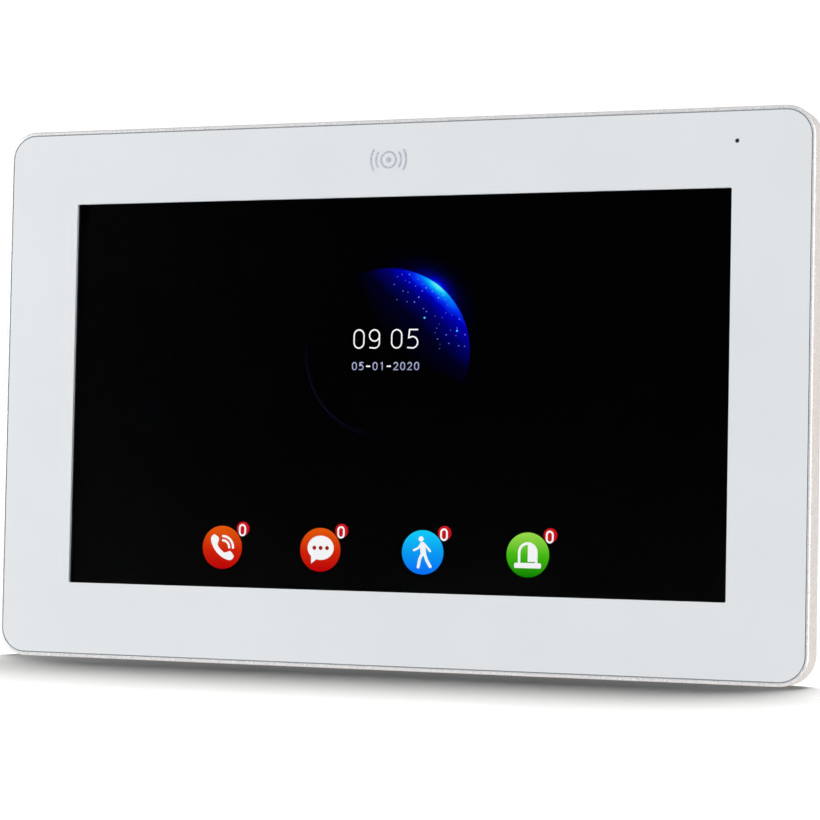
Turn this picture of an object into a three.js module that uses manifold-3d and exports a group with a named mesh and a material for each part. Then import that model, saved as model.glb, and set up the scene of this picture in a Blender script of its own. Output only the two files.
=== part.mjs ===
// Wall-mounted 10.1 inch touch monitor of a video door intercom.
//
// Millimetres. +X is to the right seen from the front, +Z is up, and the screen faces -Y.
// The origin is the centre of the wall bracket's back face, so the wall is the plane y = 0
// and every y inside the monitor is negative, with the rim at the most negative one.

import * as THREE from 'three';
import { LoftGeometry } from 'three/addons/geometries/LoftGeometry.js';
import { mergeVertices } from 'three/addons/utils/BufferGeometryUtils.js';
import Module from 'manifold-3d';

const wasm = await Module();
wasm.setup();

// ---------------------------------------------------------------- driving dimensions

const CASE_WIDTH = 274.3;
const CASE_HEIGHT = 174.5;
const CASE_DEPTH = 24; // wall plane to the front of the rim
const CASE_CORNER = 9.5; // corner radius seen from the front
const SIDE_DEPTH = 9.8; // flat side of the front frame
const RIM_RADIUS = 1; // rounding of the rim's outer edge
const WALL = 2; // moulded walls
const FIT_GAP = 0.1; // between pieces that touch
const CORNER_STEPS = 6; // facets of a rounded corner

const GLASS_WIDTH = 271.4;
const GLASS_HEIGHT = 171.6;
const GLASS_CORNER = 8;
const GLASS_THICKNESS = 1.8;
const GLASS_SINK = 0.1; // glass face behind the rim's front
const GLASS_GAP = 0.3; // slit between the glass and the rim
const GLASS_CHAMFER = 0.25;
const TAPE_THICKNESS = 0.3;
const TAPE_BORDER = 1.2; // tape edge inside the glass edge

const LEDGE_THICKNESS = 1.6;
const WINDOW_WIDTH = 237.2; // opening in the ledge for the display
const WINDOW_HEIGHT = 145.2;

const SENSOR_WIDTH = 233;
const SENSOR_HEIGHT = 139;
const SENSOR_THICKNESS = 0.8;
const LCD_WIDTH = 234.6;
const LCD_HEIGHT = 142.6;
const LCD_THICKNESS = 1.4;
const TRAY_WIDTH = 235;
const TRAY_HEIGHT = 143;
const TRAY_DEPTH = 3.3;
const TRAY_SHEET = 0.4;

const MIC_X = 112.8;
const MIC_Z = 76.8;
const MIC_HOLE_DIAMETER = 1.35;

const BOARD_THICKNESS = 1.6;
const BOARD_BACK_Y = -11; // component side, facing the wall

const SPEAKER_X = 92;
const SPEAKER_Z = -5;
const SPEAKER_RADIUS = 19.9;

const BRACKET_WIDTH = 120;
const BRACKET_HEIGHT = 90;
const BRACKET_SHEET = 1.2;
const BRACKET_CORNER = 5;
const BACK_GAP = 0.3; // between the bracket and the rear cover
const HOOK_WIDTH = 7;
const HOOK_HEIGHT = 6;
const HOOK_X = 51;
const HOOK_LEVELS = [24, -30]; // underside of each hook's web
const LIFT = 5.5; // upward travel that frees the hooks

const BAY_WIDTH = 82; // connector bay in the rear cover
const BAY_TOP = -14;
const BAY_BOTTOM = -36;
const BAY_COLLAR = 1.2;

const CARD_LENGTH = 15;
const CARD_WIDTH = 11;
const CARD_THICKNESS = 0.8;
const CARD_X = -134.1; // outer end of the card
const CARD_Y = -10.05;
const CARD_Z = -60;

const KNOB_X = -92.5;
const KNOB_TRAVEL = 2;
const SWITCH_Y = -9.1; // axis of both small switches
const SWITCH_BOTTOM = -78;
const RESET_X = -109;

// ---------------------------------------------------------------- levels along y

const FRONT_Y = -CASE_DEPTH;
const FRAME_BACK_Y = FRONT_Y + SIDE_DEPTH;
const GLASS_FRONT_Y = FRONT_Y + GLASS_SINK;
const GLASS_BACK_Y = GLASS_FRONT_Y + GLASS_THICKNESS;
const TAPE_BACK_Y = GLASS_BACK_Y + FIT_GAP + TAPE_THICKNESS;
const LEDGE_FRONT_Y = TAPE_BACK_Y + FIT_GAP;
const LEDGE_BACK_Y = LEDGE_FRONT_Y + LEDGE_THICKNESS;
const SENSOR_BACK_Y = GLASS_BACK_Y + FIT_GAP + SENSOR_THICKNESS;
const LCD_FRONT_Y = SENSOR_BACK_Y + 2 * FIT_GAP;
const LCD_BACK_Y = LCD_FRONT_Y + LCD_THICKNESS;
const TRAY_FRONT_Y = LCD_BACK_Y + 2 * FIT_GAP;
const TRAY_BACK_Y = TRAY_FRONT_Y + TRAY_DEPTH;
const RAIL_FRONT_Y = TRAY_BACK_Y + 2 * FIT_GAP;
const RAIL_BACK_Y = RAIL_FRONT_Y + 0.8;
const BOARD_FRONT_Y = BOARD_BACK_Y - BOARD_THICKNESS;
const COVER_FRONT_Y = FRAME_BACK_Y + 2 * FIT_GAP;
const COVER_BACK_Y = -BRACKET_SHEET - BACK_GAP;
const COVER_INNER_Y = COVER_BACK_Y - WALL;
const HOOK_FRONT_Y = COVER_INNER_Y - BACK_GAP - BRACKET_SHEET;

// Rear cover: [distance inside the casing outline, y] from the parting line to the back face.
const COVER_PROFILE = [
  [0.6, COVER_FRONT_Y],
  [3.15, -9],
  [9.15, -4.5],
  [17.65, -1.9],
  [19.15, COVER_BACK_Y],
];
const COVER_CORNER_GROWTH = 0.35; // corner radius gained per millimetre of inset

const CASE_SCREWS = [
  [-126.5, 77],
  [126.5, 77],
  [0, 79],
  [-126.5, -77],
  [126.5, -77],
  [0, -79],
];
const CASE_SCREW_SEAT_Y = -11.9;
const RAIL_SCREWS = [
  [-123.5, 45],
  [-123.5, -45],
  [123.5, 45],
  [123.5, -45],
];
const BOARD_SCREWS = [
  [-92, 44],
  [58, 44],
  [58, -44],
  [-76, -44],
];

// ---------------------------------------------------------------- solids

/** Closed solid of a geometry: shared vertices merged, faces turned outwards. */
function toSolid(geometry) {
  const bare = new THREE.BufferGeometry();
  bare.setAttribute('position', geometry.attributes.position);
  bare.setIndex(geometry.index);
  const merged = mergeVertices(bare);
  const points = merged.attributes.position.array;
  const corners = merged.index.array;
  const kept = [];
  let volume = 0;
  const a = new THREE.Vector3();
  const b = new THREE.Vector3();
  const c = new THREE.Vector3();
  for (let i = 0; i < corners.length; i += 3) {
    const [p, q, r] = corners.slice(i, i + 3);
    if (p === q || q === r || r === p) continue;
    kept.push([p, q, r]);
    a.fromArray(points, 3 * p);
    b.fromArray(points, 3 * q);
    c.fromArray(points, 3 * r);
    volume += a.dot(b.cross(c));
  }
  const facing = volume < 0 ? kept.map(([p, q, r]) => [p, r, q]) : kept;
  return new wasm.Manifold(new wasm.Mesh({
    numProp: 3,
    vertProperties: new Float32Array(points),
    triVerts: new Uint32Array(facing.flat()),
  }));
}

/** Sum of several solids. */
function join(solids) {
  return solids.reduce((sum, next) => sum.add(next));
}

/** First solid less all the others. */
function cut(body, tools) {
  return tools.reduce((rest, tool) => rest.subtract(tool), body);
}

/** Axis-aligned block between two corners. */
function block(low, high) {
  const size = high.map((value, axis) => value - low[axis]);
  const middle = high.map((value, axis) => (value + low[axis]) / 2);
  return toSolid(new THREE.BoxGeometry(...size).translate(...middle));
}

/** Cylinder along y at (x, z). */
function pin(x, z, radius, frontY, backY, segments = 16) {
  const length = backY - frontY;
  const geometry = new THREE.CylinderGeometry(radius, radius, length, segments);
  return toSolid(geometry.translate(x, (frontY + backY) / 2, z));
}

/** Cylinder along z at (x, y). */
function postZ(x, y, radius, bottomZ, topZ, segments = 16) {
  const geometry = new THREE.CylinderGeometry(radius, radius, topZ - bottomZ, segments);
  geometry.rotateX(Math.PI / 2);
  return toSolid(geometry.translate(x, y, (bottomZ + topZ) / 2));
}

/** Points of a rounded rectangle in the x-z plane, counter-clockwise. */
function roundedOutline(width, height, radius, x = 0, z = 0, steps = CORNER_STEPS) {
  const centreX = width / 2 - radius;
  const centreZ = height / 2 - radius;
  const quarters = [[1, 1], [-1, 1], [-1, -1], [1, -1]];
  return quarters.flatMap(([sideX, sideZ], quarter) => {
    const points = [];
    for (let step = 0; step <= steps; step += 1) {
      const angle = (quarter + step / steps) * Math.PI / 2;
      points.push(new THREE.Vector2(
        x + sideX * centreX + radius * Math.cos(angle),
        z + sideZ * centreZ + radius * Math.sin(angle),
      ));
    }
    return points;
  });
}

/** Prism of an x-z outline between two y levels. */
function plate(outline, frontY, backY) {
  const shape = new THREE.Shape(outline);
  const depth = backY - frontY;
  const geometry = new THREE.ExtrudeGeometry(shape, { depth, bevelEnabled: false });
  return toSolid(geometry.rotateX(Math.PI / 2).translate(0, backY, 0));
}

/** Prism with half-round ends, its long axis along x or z. */
function slot(x, z, lengthX, lengthZ, frontY, backY) {
  const radius = Math.min(lengthX, lengthZ) / 2 - 0.001;
  return plate(roundedOutline(lengthX, lengthZ, radius, x, z, 2), frontY, backY);
}

/** Skin over the casing outline, drawn in by each [inset, y] of a profile. */
function casingLoft(width, height, corner, growth, profile) {
  const backToFront = [...profile].sort((one, other) => other[1] - one[1]);
  const sections = backToFront.map(([inset, y]) => {
    const radius = corner + growth * inset;
    const outline = roundedOutline(width - 2 * inset, height - 2 * inset, radius);
    return outline.map((point) => new THREE.Vector3(point.x, y, point.y));
  });
  return toSolid(new LoftGeometry(sections, { capStart: true, capEnd: true }));
}

/** Profile moved into the casing by a wall thickness, square to each stretch. */
function thinned(profile, wall) {
  const normals = profile.slice(1).map(([inset, y], index) => {
    const [lastInset, lastY] = profile[index];
    return new THREE.Vector2(y - lastY, lastInset - inset).normalize();
  });
  const flatBack = new THREE.Vector2(0, -1);
  return profile.map(([inset, y], index) => {
    const before = normals[Math.max(index - 1, 0)];
    const after = normals[index] ?? flatBack;
    const shift = before.clone().add(after).multiplyScalar(wall / (1 + before.dot(after)));
    return [inset + shift.x, y + shift.y];
  });
}

/** Solid of revolution about the y axis through (x, z), from [radius, y] points. */
function turned(points, segments = 24, x = 0, z = 0) {
  const profile = points.map(([radius, y]) => new THREE.Vector2(radius, y));
  return toSolid(new THREE.LatheGeometry(profile, segments).translate(x, 0, z));
}

/** Ring of revolution whose profile closes on itself. */
function turnedRing(points, segments = 24, x = 0, z = 0) {
  return turned([...points, points[0]], segments, x, z);
}

/** Flat flexible strip: a [y, z] centre line with a thickness, spread between two x. */
function ribbon(line, thickness, leftX, rightX) {
  const centre = line.map(([y, z]) => new THREE.Vector2(y, z));
  const sides = centre.map((point, index) => {
    const before = centre[Math.max(index - 1, 0)];
    const after = centre[Math.min(index + 1, centre.length - 1)];
    const along = after.clone().sub(before).normalize();
    return new THREE.Vector2(-along.y, along.x).multiplyScalar(thickness / 2);
  });
  const upper = centre.map((point, index) => point.clone().add(sides[index]));
  const lower = centre.map((point, index) => point.clone().sub(sides[index]));
  const shape = new THREE.Shape([...upper, ...lower.reverse()]);
  const options = { depth: rightX - leftX, bevelEnabled: false };
  const geometry = new THREE.ExtrudeGeometry(shape, options);
  const turn = new THREE.Matrix4().makeBasis(
    new THREE.Vector3(0, 1, 0),
    new THREE.Vector3(0, 0, 1),
    new THREE.Vector3(1, 0, 0),
  );
  return toSolid(geometry.applyMatrix4(turn).translate(leftX, 0, 0));
}

/** Round lead along hand-set points. */
function lead(points, radius) {
  const path = new THREE.CatmullRomCurve3(points.map((point) => new THREE.Vector3(...point)));
  const section = new THREE.Shape();
  section.absarc(0, 0, radius, 0, 2 * Math.PI);
  const steps = Math.ceil(path.getLength() / (5 * radius));
  return toSolid(new THREE.ExtrudeGeometry(section, { extrudePath: path, steps, curveSegments: 4 }));
}

// ---------------------------------------------------------------- finishes

const FINISHES = {
  whiteGlass: { color: 0xe6e9ee, roughness: 0.08, metalness: 0 },
  clearGlass: { color: 0xc9d4d6, roughness: 0.05, metalness: 0 },
  screen: { color: 0x050607, roughness: 0.1, metalness: 0 },
  casing: { color: 0xdcd8d3, roughness: 0.45, metalness: 0.1 },
  whitePlastic: { color: 0xf0efec, roughness: 0.5, metalness: 0 },
  blackPlastic: { color: 0x1b1b1d, roughness: 0.5, metalness: 0 },
  rubber: { color: 0x222222, roughness: 0.9, metalness: 0 },
  tape: { color: 0x303236, roughness: 0.9, metalness: 0 },
  board: { color: 0x14532f, roughness: 0.6, metalness: 0 },
  flex: { color: 0xb8741f, roughness: 0.5, metalness: 0 },
  steel: { color: 0xaeb2b5, roughness: 0.35, metalness: 1 },
  screwSteel: { color: 0x8d9093, roughness: 0.3, metalness: 1 },
  ferrite: { color: 0x3a3a3c, roughness: 0.7, metalness: 0.2 },
  paper: { color: 0x3d3f42, roughness: 0.95, metalness: 0 },
  label: { color: 0xd9dbdc, roughness: 0.4, metalness: 0.2 },
  lead: { color: 0xb3202a, roughness: 0.6, metalness: 0 },
};

/** Named mesh of a solid in the given finish, placed at (x, y, z). */
function piece(name, solid, finish, x = 0, y = 0, z = 0) {
  const data = solid.getMesh();
  const geometry = new THREE.BufferGeometry();
  geometry.setAttribute('position', new THREE.BufferAttribute(data.vertProperties, 3));
  geometry.setIndex(new THREE.BufferAttribute(data.triVerts, 1));
  geometry.computeVertexNormals();
  const mesh = new THREE.Mesh(geometry, new THREE.MeshStandardMaterial(FINISHES[finish]));
  mesh.name = name;
  mesh.position.set(x, y, z);
  return mesh;
}

/** Copies of one solid at a list of (x, z) places, numbered from 1. */
function copies(name, solid, finish, places, y = 0) {
  return places.map(([x, z], index) => piece(`${name}_${index + 1}`, solid, finish, x, y, z));
}

// ---------------------------------------------------------------- glass and display

function coverGlass() {
  const slab = casingLoft(GLASS_WIDTH, GLASS_HEIGHT, GLASS_CORNER, -1, [
    [0, GLASS_BACK_Y],
    [0, GLASS_FRONT_Y + GLASS_CHAMFER],
    [GLASS_CHAMFER, GLASS_FRONT_Y],
  ]);
  const micHole = pin(MIC_X, MIC_Z, MIC_HOLE_DIAMETER / 2, FRONT_Y - 1, GLASS_BACK_Y + 1, 12);
  return cut(slab, [micHole]);
}

function glassAdhesive() {
  const outerWidth = GLASS_WIDTH - 2 * TAPE_BORDER;
  const outerHeight = GLASS_HEIGHT - 2 * TAPE_BORDER;
  const front = GLASS_BACK_Y + FIT_GAP;
  const sheet = plate(roundedOutline(outerWidth, outerHeight, GLASS_CORNER - 1), front, TAPE_BACK_Y);
  const window = plate(roundedOutline(WINDOW_WIDTH + 1, WINDOW_HEIGHT - 1, 1), FRONT_Y, LEDGE_BACK_Y);
  return cut(sheet, [window, pin(MIC_X, MIC_Z, 1.4, FRONT_Y, LEDGE_BACK_Y)]);
}

function touchSensor() {
  const outline = roundedOutline(SENSOR_WIDTH, SENSOR_HEIGHT, 1, 0, 0, 1);
  return plate(outline, GLASS_BACK_Y + FIT_GAP, SENSOR_BACK_Y);
}

const TOUCH_FLEX_X = [20, 32];

function touchFlex() {
  const bottom = -SENSOR_HEIGHT / 2 - BACK_GAP;
  const line = [
    [-21.42, bottom],
    [-21.42, -73.6],
    [-20.8, -74.4],
    [-16, -74.4],
    [-15.3, -73.7],
    [-15.2, -52],
    [-13.2, -48.5],
    [-12.95, -43],
  ];
  return ribbon(line, 0.2, ...TOUCH_FLEX_X);
}

function lcdGlass() {
  return plate(roundedOutline(LCD_WIDTH, LCD_HEIGHT, 0.5, 0, 0, 1), LCD_FRONT_Y, LCD_BACK_Y);
}

function backlightTray() {
  const shell = plate(roundedOutline(TRAY_WIDTH, TRAY_HEIGHT, 1, 0, 0, 2), TRAY_FRONT_Y, TRAY_BACK_Y);
  const inside = roundedOutline(TRAY_WIDTH - 2 * TRAY_SHEET, TRAY_HEIGHT - 2 * TRAY_SHEET, 0.6, 0, 0, 2);
  return cut(shell, [plate(inside, TRAY_FRONT_Y - 1, TRAY_BACK_Y - TRAY_SHEET)]);
}

const GUIDE_BOTTOM = -69.2;
const GUIDE_TOP = 70.8;

function lightGuide() {
  const halfWidth = TRAY_WIDTH / 2 - TRAY_SHEET - BACK_GAP;
  const front = TRAY_FRONT_Y + FIT_GAP;
  const back = TRAY_BACK_Y - TRAY_SHEET - 2 * FIT_GAP;
  return block([-halfWidth, front, GUIDE_BOTTOM], [halfWidth, back, GUIDE_TOP]);
}

function ledStrip() {
  const bar = block([-112, -19.2, -70.8], [112, -16.8, -70.2]);
  const lamps = [];
  for (let x = -108; x <= 108; x += 12) {
    lamps.push(block([x - 1.5, -19, -70.3], [x + 1.5, -17, -69.5]));
  }
  return join([bar, ...lamps]);
}

function panelBoard() {
  return block([-95, RAIL_FRONT_Y, -69], [-5, RAIL_BACK_Y + 0.2, -52]);
}

function displayCable() {
  const line = [
    [-14.55, -64],
    [-14.35, -56],
    [-13.3, -49],
    [-12.95, -43],
  ];
  return ribbon(line, 0.3, -60, -30);
}

function lcdRail(side) {
  const bar = block([side * 120.5 - 8, RAIL_FRONT_Y, -58], [side * 120.5 + 8, RAIL_BACK_Y, 58]);
  const holes = RAIL_SCREWS.filter(([x]) => Math.sign(x) === side).map(([x, z]) => (
    pin(x, z, 1.6, RAIL_FRONT_Y - 1, RAIL_BACK_Y + 1, 12)
  ));
  return cut(bar, holes);
}

// ---------------------------------------------------------------- front frame

function frontFrame() {
  const rim = [0, 1, 2, 3, 4].map((step) => {
    const angle = (step / 4) * Math.PI / 2;
    return [RIM_RADIUS * (1 - Math.cos(angle)), FRONT_Y + RIM_RADIUS * (1 - Math.sin(angle))];
  });
  const outside = casingLoft(CASE_WIDTH, CASE_HEIGHT, CASE_CORNER, -1, [[0, FRAME_BACK_Y], ...rim]);
  const recess = plate(
    roundedOutline(GLASS_WIDTH + 2 * GLASS_GAP, GLASS_HEIGHT + 2 * GLASS_GAP, GLASS_CORNER + GLASS_GAP),
    FRONT_Y - 1,
    LEDGE_FRONT_Y,
  );
  const window = plate(roundedOutline(WINDOW_WIDTH, WINDOW_HEIGHT, 1.5, 0, 0, 2), FRONT_Y, FRAME_BACK_Y + 1);
  const cavity = plate(
    roundedOutline(CASE_WIDTH - 2 * WALL, CASE_HEIGHT - 2 * WALL, CASE_CORNER - WALL),
    LEDGE_BACK_Y,
    FRAME_BACK_Y + 1,
  );
  const flexNotch = block(
    [TOUCH_FLEX_X[0] - 1, FRONT_Y, -77],
    [TOUCH_FLEX_X[1] + 1, LEDGE_BACK_Y + 1, -WINDOW_HEIGHT / 2 + 1],
  );
  const micPort = pin(MIC_X, MIC_Z, 1, FRONT_Y, LEDGE_BACK_Y + 1, 12);
  const shell = cut(outside, [recess, window, cavity, flexNotch, micPort]);
  const inLedge = LEDGE_BACK_Y - 0.5;
  const caseBosses = CASE_SCREWS.map(([x, z]) => pin(x, z, 3.5, inLedge, FRAME_BACK_Y - FIT_GAP));
  const railBosses = RAIL_SCREWS.map(([x, z]) => pin(x, z, 3.2, inLedge, RAIL_FRONT_Y - FIT_GAP));
  const casePilots = CASE_SCREWS.map(([x, z]) => pin(x, z, 1.5, LEDGE_BACK_Y + 0.8, FRAME_BACK_Y, 12));
  const railPilots = RAIL_SCREWS.map(([x, z]) => pin(x, z, 1.3, LEDGE_BACK_Y + 0.8, RAIL_FRONT_Y, 12));
  return cut(join([shell, ...caseBosses, ...railBosses]), [...casePilots, ...railPilots]);
}

// ---------------------------------------------------------------- microphone

function micBoot() {
  const front = LEDGE_BACK_Y + 2 * FIT_GAP;
  return turnedRing([
    [0.8, front],
    [4.5, front],
    [4.5, front + 4],
    [3.15, front + 4],
    [3.15, front + 0.9],
    [0.8, front + 0.9],
  ], 20, MIC_X, MIC_Z);
}

function micCapsule() {
  const front = LEDGE_BACK_Y + 2 * FIT_GAP + 1;
  return pin(MIC_X, MIC_Z, 3, front, front + 2.7, 20);
}

function micLead() {
  return lead([
    [MIC_X, -15.5, MIC_Z],
    [112.6, -13.8, 75.6],
    [104, -12.8, 66],
    [85, -12.6, 55],
    [68, -13.2, 48.5],
    [62.5, -13.6, 50],
  ], 0.7);
}

// ---------------------------------------------------------------- rear cover

function hookSlot(x, level) {
  const top = level + BRACKET_SHEET + 0.15;
  const bottom = level - LIFT - 0.4;
  return block([x - 4.3, COVER_INNER_Y - 1, bottom], [x + 4.3, 0, top]);
}

function ventSlots() {
  const slots = [];
  for (const side of [-1, 1]) {
    for (const z of [-56, 56]) {
      for (let index = 0; index < 9; index += 1) {
        const x = side * (20 + 4.5 * index);
        slots.push(slot(x, z, 1.8, 12, COVER_INNER_Y - 1, 0));
      }
    }
  }
  return slots;
}

function speakerGrille() {
  const slots = [];
  const reach = 16.5;
  for (let row = -3; row <= 3; row += 1) {
    const rise = 4.4 * row;
    const length = 2 * Math.sqrt(reach * reach - rise * rise);
    slots.push(slot(SPEAKER_X, SPEAKER_Z + rise, length, 2.2, COVER_INNER_Y - 1, 0));
  }
  return slots;
}

function rearCover() {
  const outside = casingLoft(CASE_WIDTH, CASE_HEIGHT, CASE_CORNER, COVER_CORNER_GROWTH, COVER_PROFILE);
  const inside = casingLoft(
    CASE_WIDTH,
    CASE_HEIGHT,
    CASE_CORNER - WALL / 2,
    COVER_CORNER_GROWTH,
    thinned(COVER_PROFILE, WALL),
  );
  const tongueWidth = CASE_WIDTH - 2 * WALL - 6 * FIT_GAP;
  const tongueHeight = CASE_HEIGHT - 2 * WALL - 6 * FIT_GAP;
  const tongueCorner = CASE_CORNER - WALL - 3 * FIT_GAP;
  const tongueOutline = roundedOutline(tongueWidth, tongueHeight, tongueCorner);
  const tongueInside = roundedOutline(tongueWidth - 2.4, tongueHeight - 2.4, tongueCorner - 1.2);
  const tongue = cut(
    plate(tongueOutline, COVER_FRONT_Y - 1.4, COVER_FRONT_Y + 0.5),
    [plate(tongueInside, FRONT_Y, 0)],
  );
  const inWall = COVER_INNER_Y + 0.5;
  const caseBosses = CASE_SCREWS.map(([x, z]) => (
    pin(x, z, 4.5, COVER_FRONT_Y, COVER_BACK_Y).intersect(outside)
  ));
  const boardBosses = BOARD_SCREWS.map(([x, z]) => pin(x, z, 3.5, BOARD_BACK_Y + FIT_GAP, inWall));
  const bayCollar = block(
    [-BAY_WIDTH / 2 - BAY_COLLAR, BOARD_BACK_Y + 1.2, BAY_BOTTOM - BAY_COLLAR],
    [BAY_WIDTH / 2 + BAY_COLLAR, inWall, BAY_TOP + BAY_COLLAR],
  );
  const speakerCollar = turnedRing([
    [SPEAKER_RADIUS + 0.5, -8],
    [SPEAKER_RADIUS + 1.8, -8],
    [SPEAKER_RADIUS + 1.8, inWall],
    [SPEAKER_RADIUS + 0.5, inWall],
  ], 32, SPEAKER_X, SPEAKER_Z);
  const body = join([cut(outside, [inside]), tongue, ...caseBosses, ...boardBosses, bayCollar, speakerCollar]);
  const throughHoles = CASE_SCREWS.map(([x, z]) => pin(x, z, 1.7, FRONT_Y, 0, 12));
  const headPockets = CASE_SCREWS.map(([x, z]) => pin(x, z, 3.2, CASE_SCREW_SEAT_Y, 0));
  const pilots = BOARD_SCREWS.map(([x, z]) => pin(x, z, 1.3, BOARD_BACK_Y, -5, 12));
  const bay = block([-BAY_WIDTH / 2, BOARD_BACK_Y, BAY_BOTTOM], [BAY_WIDTH / 2, 0, BAY_TOP]);
  const hookSlots = HOOK_LEVELS.flatMap((level) => [hookSlot(-HOOK_X, level), hookSlot(HOOK_X, level)]);
  const cardSlot = block([-138, CARD_Y - 0.8, CARD_Z - 6], [-129, CARD_Y + 0.8, CARD_Z + 6]);
  const knobSlot = block(
    [KNOB_X - 1.6, SWITCH_Y - 0.9, -90],
    [KNOB_X + KNOB_TRAVEL + 1.6, SWITCH_Y + 0.9, -79],
  );
  const resetHole = postZ(RESET_X, SWITCH_Y, 1, -90, -79, 12);
  const cuts = [...throughHoles, ...headPockets, ...pilots, bay, ...hookSlots, cardSlot, knobSlot];
  return cut(body, [...cuts, resetHole, ...ventSlots(), ...speakerGrille()]);
}

function rearLabel() {
  return plate(roundedOutline(44, 28, 2, -90, 0, 3), COVER_BACK_Y + FIT_GAP, COVER_BACK_Y + 0.25);
}

// ---------------------------------------------------------------- screws

/** Pan-head screw along y: the head's underside at y = 0, the shank towards -y. */
function screw(headRadius, headHeight, shankRadius, shankLength, crossed) {
  const body = turned([
    [0, -shankLength],
    [shankRadius * 0.6, -shankLength],
    [shankRadius, -shankLength + 0.8],
    [shankRadius, 0],
    [headRadius, 0],
    [headRadius, headHeight * 0.5],
    [headRadius * 0.7, headHeight],
    [0, headHeight],
  ], 14);
  if (!crossed) return body;
  const arm = headRadius * 0.55;
  const bottom = headHeight * 0.4;
  return cut(body, [
    block([-arm, bottom, -0.35], [arm, headHeight + 1, 0.35]),
    block([-0.35, bottom, -arm], [0.35, headHeight + 1, arm]),
  ]);
}

// ---------------------------------------------------------------- main board

function mainBoard() {
  const outline = [
    [-119, -78.5],
    [-70, -78.5],
    [-70, -50],
    [65, -50],
    [65, 50],
    [-100, 50],
    [-100, -40],
    [-130.5, -40],
    [-130.5, -70],
    [-119, -70],
  ].map(([x, z]) => new THREE.Vector2(x, z));
  const holes = BOARD_SCREWS.map(([x, z]) => pin(x, z, 1.5, -20, 0, 12));
  return cut(plate(outline, BOARD_FRONT_Y, BOARD_BACK_Y), holes);
}

const ON_BOARD_Y = BOARD_BACK_Y + FIT_GAP;

function processorShield() {
  const can = block([-42, ON_BOARD_Y, 2], [-8, ON_BOARD_Y + 2.4, 34]);
  return cut(can, [block([-41.7, ON_BOARD_Y - 1, 2.3], [-8.3, ON_BOARD_Y + 2.1, 33.7])]);
}

function coinCellHolder() {
  return turned([
    [0, ON_BOARD_Y],
    [11.6, ON_BOARD_Y],
    [11.6, ON_BOARD_Y + 3],
    [10.3, ON_BOARD_Y + 3],
    [10.3, ON_BOARD_Y + 0.7],
    [0, ON_BOARD_Y + 0.7],
  ], 28, -78, 12);
}

/** Shrouded wiring header: open towards the wall, one post per contact. */
function header(contacts) {
  const pitch = 2.5;
  const width = contacts * pitch + 2.4;
  const height = 5.2;
  const shroud = cut(block([-width / 2, 0, -2.9], [width / 2, height, 2.9]), [
    block([-width / 2 + 0.7, 0.9, -2.1], [width / 2 - 0.7, height + 1, 2.1]),
  ]);
  const posts = [];
  for (let index = 0; index < contacts; index += 1) {
    const x = (index - (contacts - 1) / 2) * pitch;
    posts.push(block([x - 0.32, 0.5, -0.32], [x + 0.32, height - 0.9, 0.32]));
  }
  return join([shroud, ...posts]);
}

const HEADER_Z = -25;
const CAMERA_HEADERS = [-31.5, -16, -0.5, 15].map((x) => [x, HEADER_Z]);
const POWER_HEADER_X = 31;

// ---------------------------------------------------------------- card and switches

const SOCKET_LEFT = -130;

function cardSocket() {
  const body = block([SOCKET_LEFT, ON_BOARD_Y, CARD_Z - 7], [-117, ON_BOARD_Y + 1.7, CARD_Z + 7]);
  const throat = block(
    [SOCKET_LEFT - 1, CARD_Y - CARD_THICKNESS / 2 - 0.2, CARD_Z - CARD_WIDTH / 2 - 0.25],
    [CARD_X + CARD_LENGTH + 0.9, CARD_Y + CARD_THICKNESS / 2 + 0.2, CARD_Z + CARD_WIDTH / 2 + 0.25],
  );
  return cut(body, [throat]);
}

function memoryCard() {
  const half = CARD_WIDTH / 2;
  const tip = CARD_X + CARD_LENGTH;
  const outline = [
    [CARD_X, CARD_Z - half],
    [tip, CARD_Z - half],
    [tip, CARD_Z + half - 1.3],
    [tip - 6, CARD_Z + half - 1.3],
    [tip - 7.2, CARD_Z + half],
    [CARD_X, CARD_Z + half],
  ].map(([x, z]) => new THREE.Vector2(x, z));
  return plate(outline, CARD_Y - CARD_THICKNESS / 2, CARD_Y + CARD_THICKNESS / 2);
}

function powerSwitch() {
  const middle = KNOB_X + KNOB_TRAVEL / 2;
  const body = block([middle - 4.5, ON_BOARD_Y, SWITCH_BOTTOM], [middle + 4.5, -7.4, -74]);
  const track = block(
    [middle - 2.4, SWITCH_Y - 0.8, SWITCH_BOTTOM - 1],
    [middle + 2.4, SWITCH_Y + 0.8, -76],
  );
  return cut(body, [track]);
}

function powerKnob() {
  return block([KNOB_X - 1.1, SWITCH_Y - 0.6, -85.4], [KNOB_X + 1.1, SWITCH_Y + 0.6, -76.3]);
}

function resetSwitch() {
  const body = block([RESET_X - 3, ON_BOARD_Y, SWITCH_BOTTOM], [RESET_X + 3, -7.4, -74.6]);
  return cut(body, [postZ(RESET_X, SWITCH_Y, 1.05, SWITCH_BOTTOM - 1, -76.3)]);
}

function resetPlunger() {
  return postZ(RESET_X, SWITCH_Y, 0.85, -80, -76.8);
}

// ---------------------------------------------------------------- loudspeaker

function speakerGasket() {
  return turnedRing([
    [17.6, -4.2],
    [SPEAKER_RADIUS, -4.2],
    [SPEAKER_RADIUS, -3.7],
    [17.6, -3.7],
  ], 28, SPEAKER_X, SPEAKER_Z);
}

function speakerBasket() {
  return turnedRing([
    [3, -10],
    [10, -10],
    [18.2, -6.2],
    [SPEAKER_RADIUS, -6],
    [SPEAKER_RADIUS, -4.4],
    [17.6, -4.4],
    [17.6, -5.9],
    [9.7, -9.4],
    [3, -9.4],
  ], 28, SPEAKER_X, SPEAKER_Z);
}

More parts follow.
